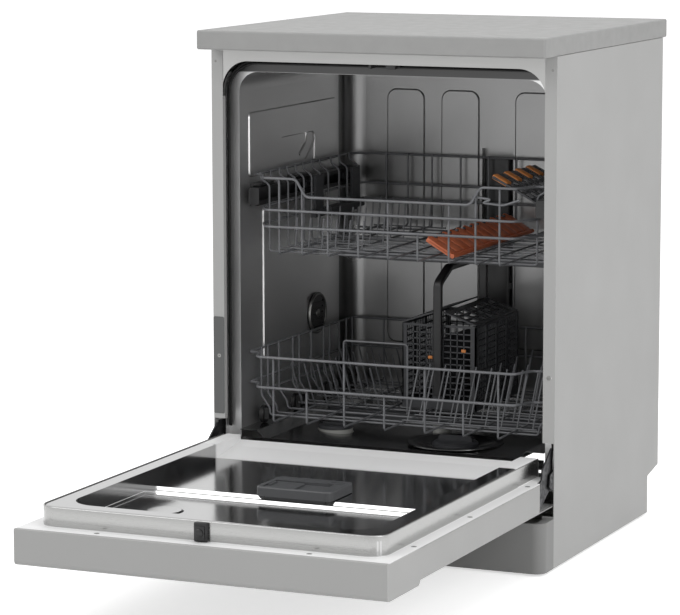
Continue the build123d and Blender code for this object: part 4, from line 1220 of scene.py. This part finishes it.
@dataclass
class Studio:
    """The pale floor, the soft lamps and the camera.

    Attributes:
        camera_place: The camera's place in millimetres.
        azimuth: How far it looks round from straight ahead, in degrees.
        elevation: How far it looks up, in degrees.
        roll: How far it is tilted, in degrees.
        focal: Its focal length in millimetres on a sensor 36 mm wide.
        floor_glow: How much the floor adds to its own tone, for the eye and in reflections only.
        sky_light: The strength of the surroundings as a light.
    """

    camera_place: Point = (1984.31, -4604.09, 1146.77)
    azimuth: float = 23.80
    elevation: float = -8.304
    roll: float = -0.106
    focal: float = 168.11
    floor_glow: float = 0.62
    sky_light: float = 0.55

    def build(self) -> None:
        """Sets up the whole studio."""
        self.camera()
        self.floor()
        self.sky()
        self.lamp("key_lamp", (-2.6, -3.2, 3.4), (2.6, 2.6), 62.0)
        self.lamp("side_lamp", (3.6, -1.4, 2.2), (2.4, 2.4), 46.0)
        self.lamp("top_lamp", (0.3, 0.4, 4.2), (3.0, 3.0), 40.0)

    def camera(self) -> None:
        """Places the camera where the photograph was taken from."""
        azimuth, elevation = math.radians(self.azimuth), math.radians(self.elevation)
        ahead = Vector((-math.sin(azimuth) * math.cos(elevation), math.cos(azimuth) * math.cos(elevation),
                        math.sin(elevation)))
        turn = ahead.to_track_quat("-Z", "Y").to_matrix().to_4x4()
        lens = bpy.data.cameras.new("camera")
        lens.sensor_width = 36.0
        lens.lens = self.focal
        lens.clip_end = 50.0
        camera = bpy.data.objects.new("camera", lens)
        roll = Matrix.Rotation(math.radians(self.roll), 4, "Z")
        camera.matrix_world = Matrix.Translation(place(*self.camera_place)) @ turn @ roll
        bpy.context.scene.collection.objects.link(camera)
        bpy.context.scene.camera = camera

    def seen(self, tree: bpy.types.NodeTree) -> bpy.types.NodeSocket:
        """A value of 1 for what the camera or a reflection sees, and 0 for light on the object.

        Args:
            tree: The node tree of the floor or of the surroundings.

        Returns:
            The value's socket.
        """
        rays = add_node(tree, "LightPath")
        both = {0: rays.outputs["Is Camera Ray"], 1: rays.outputs["Is Glossy Ray"]}
        return add_node(tree, "Math", links=both, operation="MAXIMUM").outputs[0]

    def floor(self) -> None:
        """Lays the pale floor: white to the camera and in reflections, and it takes a soft shadow."""
        mesh = bmesh.new()
        bmesh.ops.create_grid(mesh, x_segments=1, y_segments=1, size=20.0)
        data = bpy.data.meshes.new("floor")
        mesh.to_mesh(data)
        mesh.free()
        material = bpy.data.materials.new("pale_floor")
        material.use_nodes = True
        tree = material.node_tree
        shader = tree.nodes["Principled BSDF"]
        shader.inputs["Base Color"].default_value = linear("ececec")
        shader.inputs["Roughness"].default_value = 0.9
        shader.inputs["Emission Color"].default_value = (1.0, 1.0, 1.0, 1.0)
        glow = add_node(tree, "Math", {1: self.floor_glow}, {0: self.seen(tree)}, operation="MULTIPLY")
        tree.links.new(glow.outputs[0], shader.inputs["Emission Strength"])
        data.materials.append(material)
        plane = bpy.data.objects.new("floor", data)
        bpy.context.scene.collection.objects.link(plane)

    def sky(self) -> None:
        """Makes the surroundings white to the eye and in reflections, and dimmer as a light."""
        world = bpy.data.worlds.new("studio")
        bpy.context.scene.world = world
        world.use_nodes = True
        tree = world.node_tree
        level = add_node(tree, "MapRange", {"To Min": self.sky_light, "To Max": 1.0},
                         {"Value": self.seen(tree)})
        background = tree.nodes["Background"]
        background.inputs["Color"].default_value = (1.0, 1.0, 1.0, 1.0)
        tree.links.new(level.outputs[0], background.inputs["Strength"])

    def lamp(self, name: str, where: Point, size: Pair, power: float) -> None:
        """Hangs one soft rectangular lamp that faces the machine.

        Args:
            name: The lamp's name.
            where: Its place in metres.
            size: Its width and height in metres.
            power: Its power in watts.
        """
        light = bpy.data.lights.new(name, "AREA")
        light.shape = "RECTANGLE"
        light.size, light.size_y = size
        light.energy = power
        lamp = bpy.data.objects.new(name, light)
        facing = (Vector((0, 0, 0.4)) - Vector(where)).to_track_quat("-Z", "Y").to_matrix().to_4x4()
        lamp.matrix_world = Matrix.Translation(where) @ facing
        bpy.context.scene.collection.objects.link(lamp)


def main() -> None:
    """Builds the pieces in order, from the case inwards."""
    logging.basicConfig(level=logging.INFO, format="%(message)s")
    bpy.context.scene.view_settings.view_transform = "Standard"
    for part in (Cabinet(), Door(), LowerBasket(), CutleryBasket(), UpperBasket(), OrangeShelf(),
                 GreyShelf(), Studio()):
        part.build()
        LOG.info("finished %s", type(part).__name__)


if __name__ == "__main__":
    main()
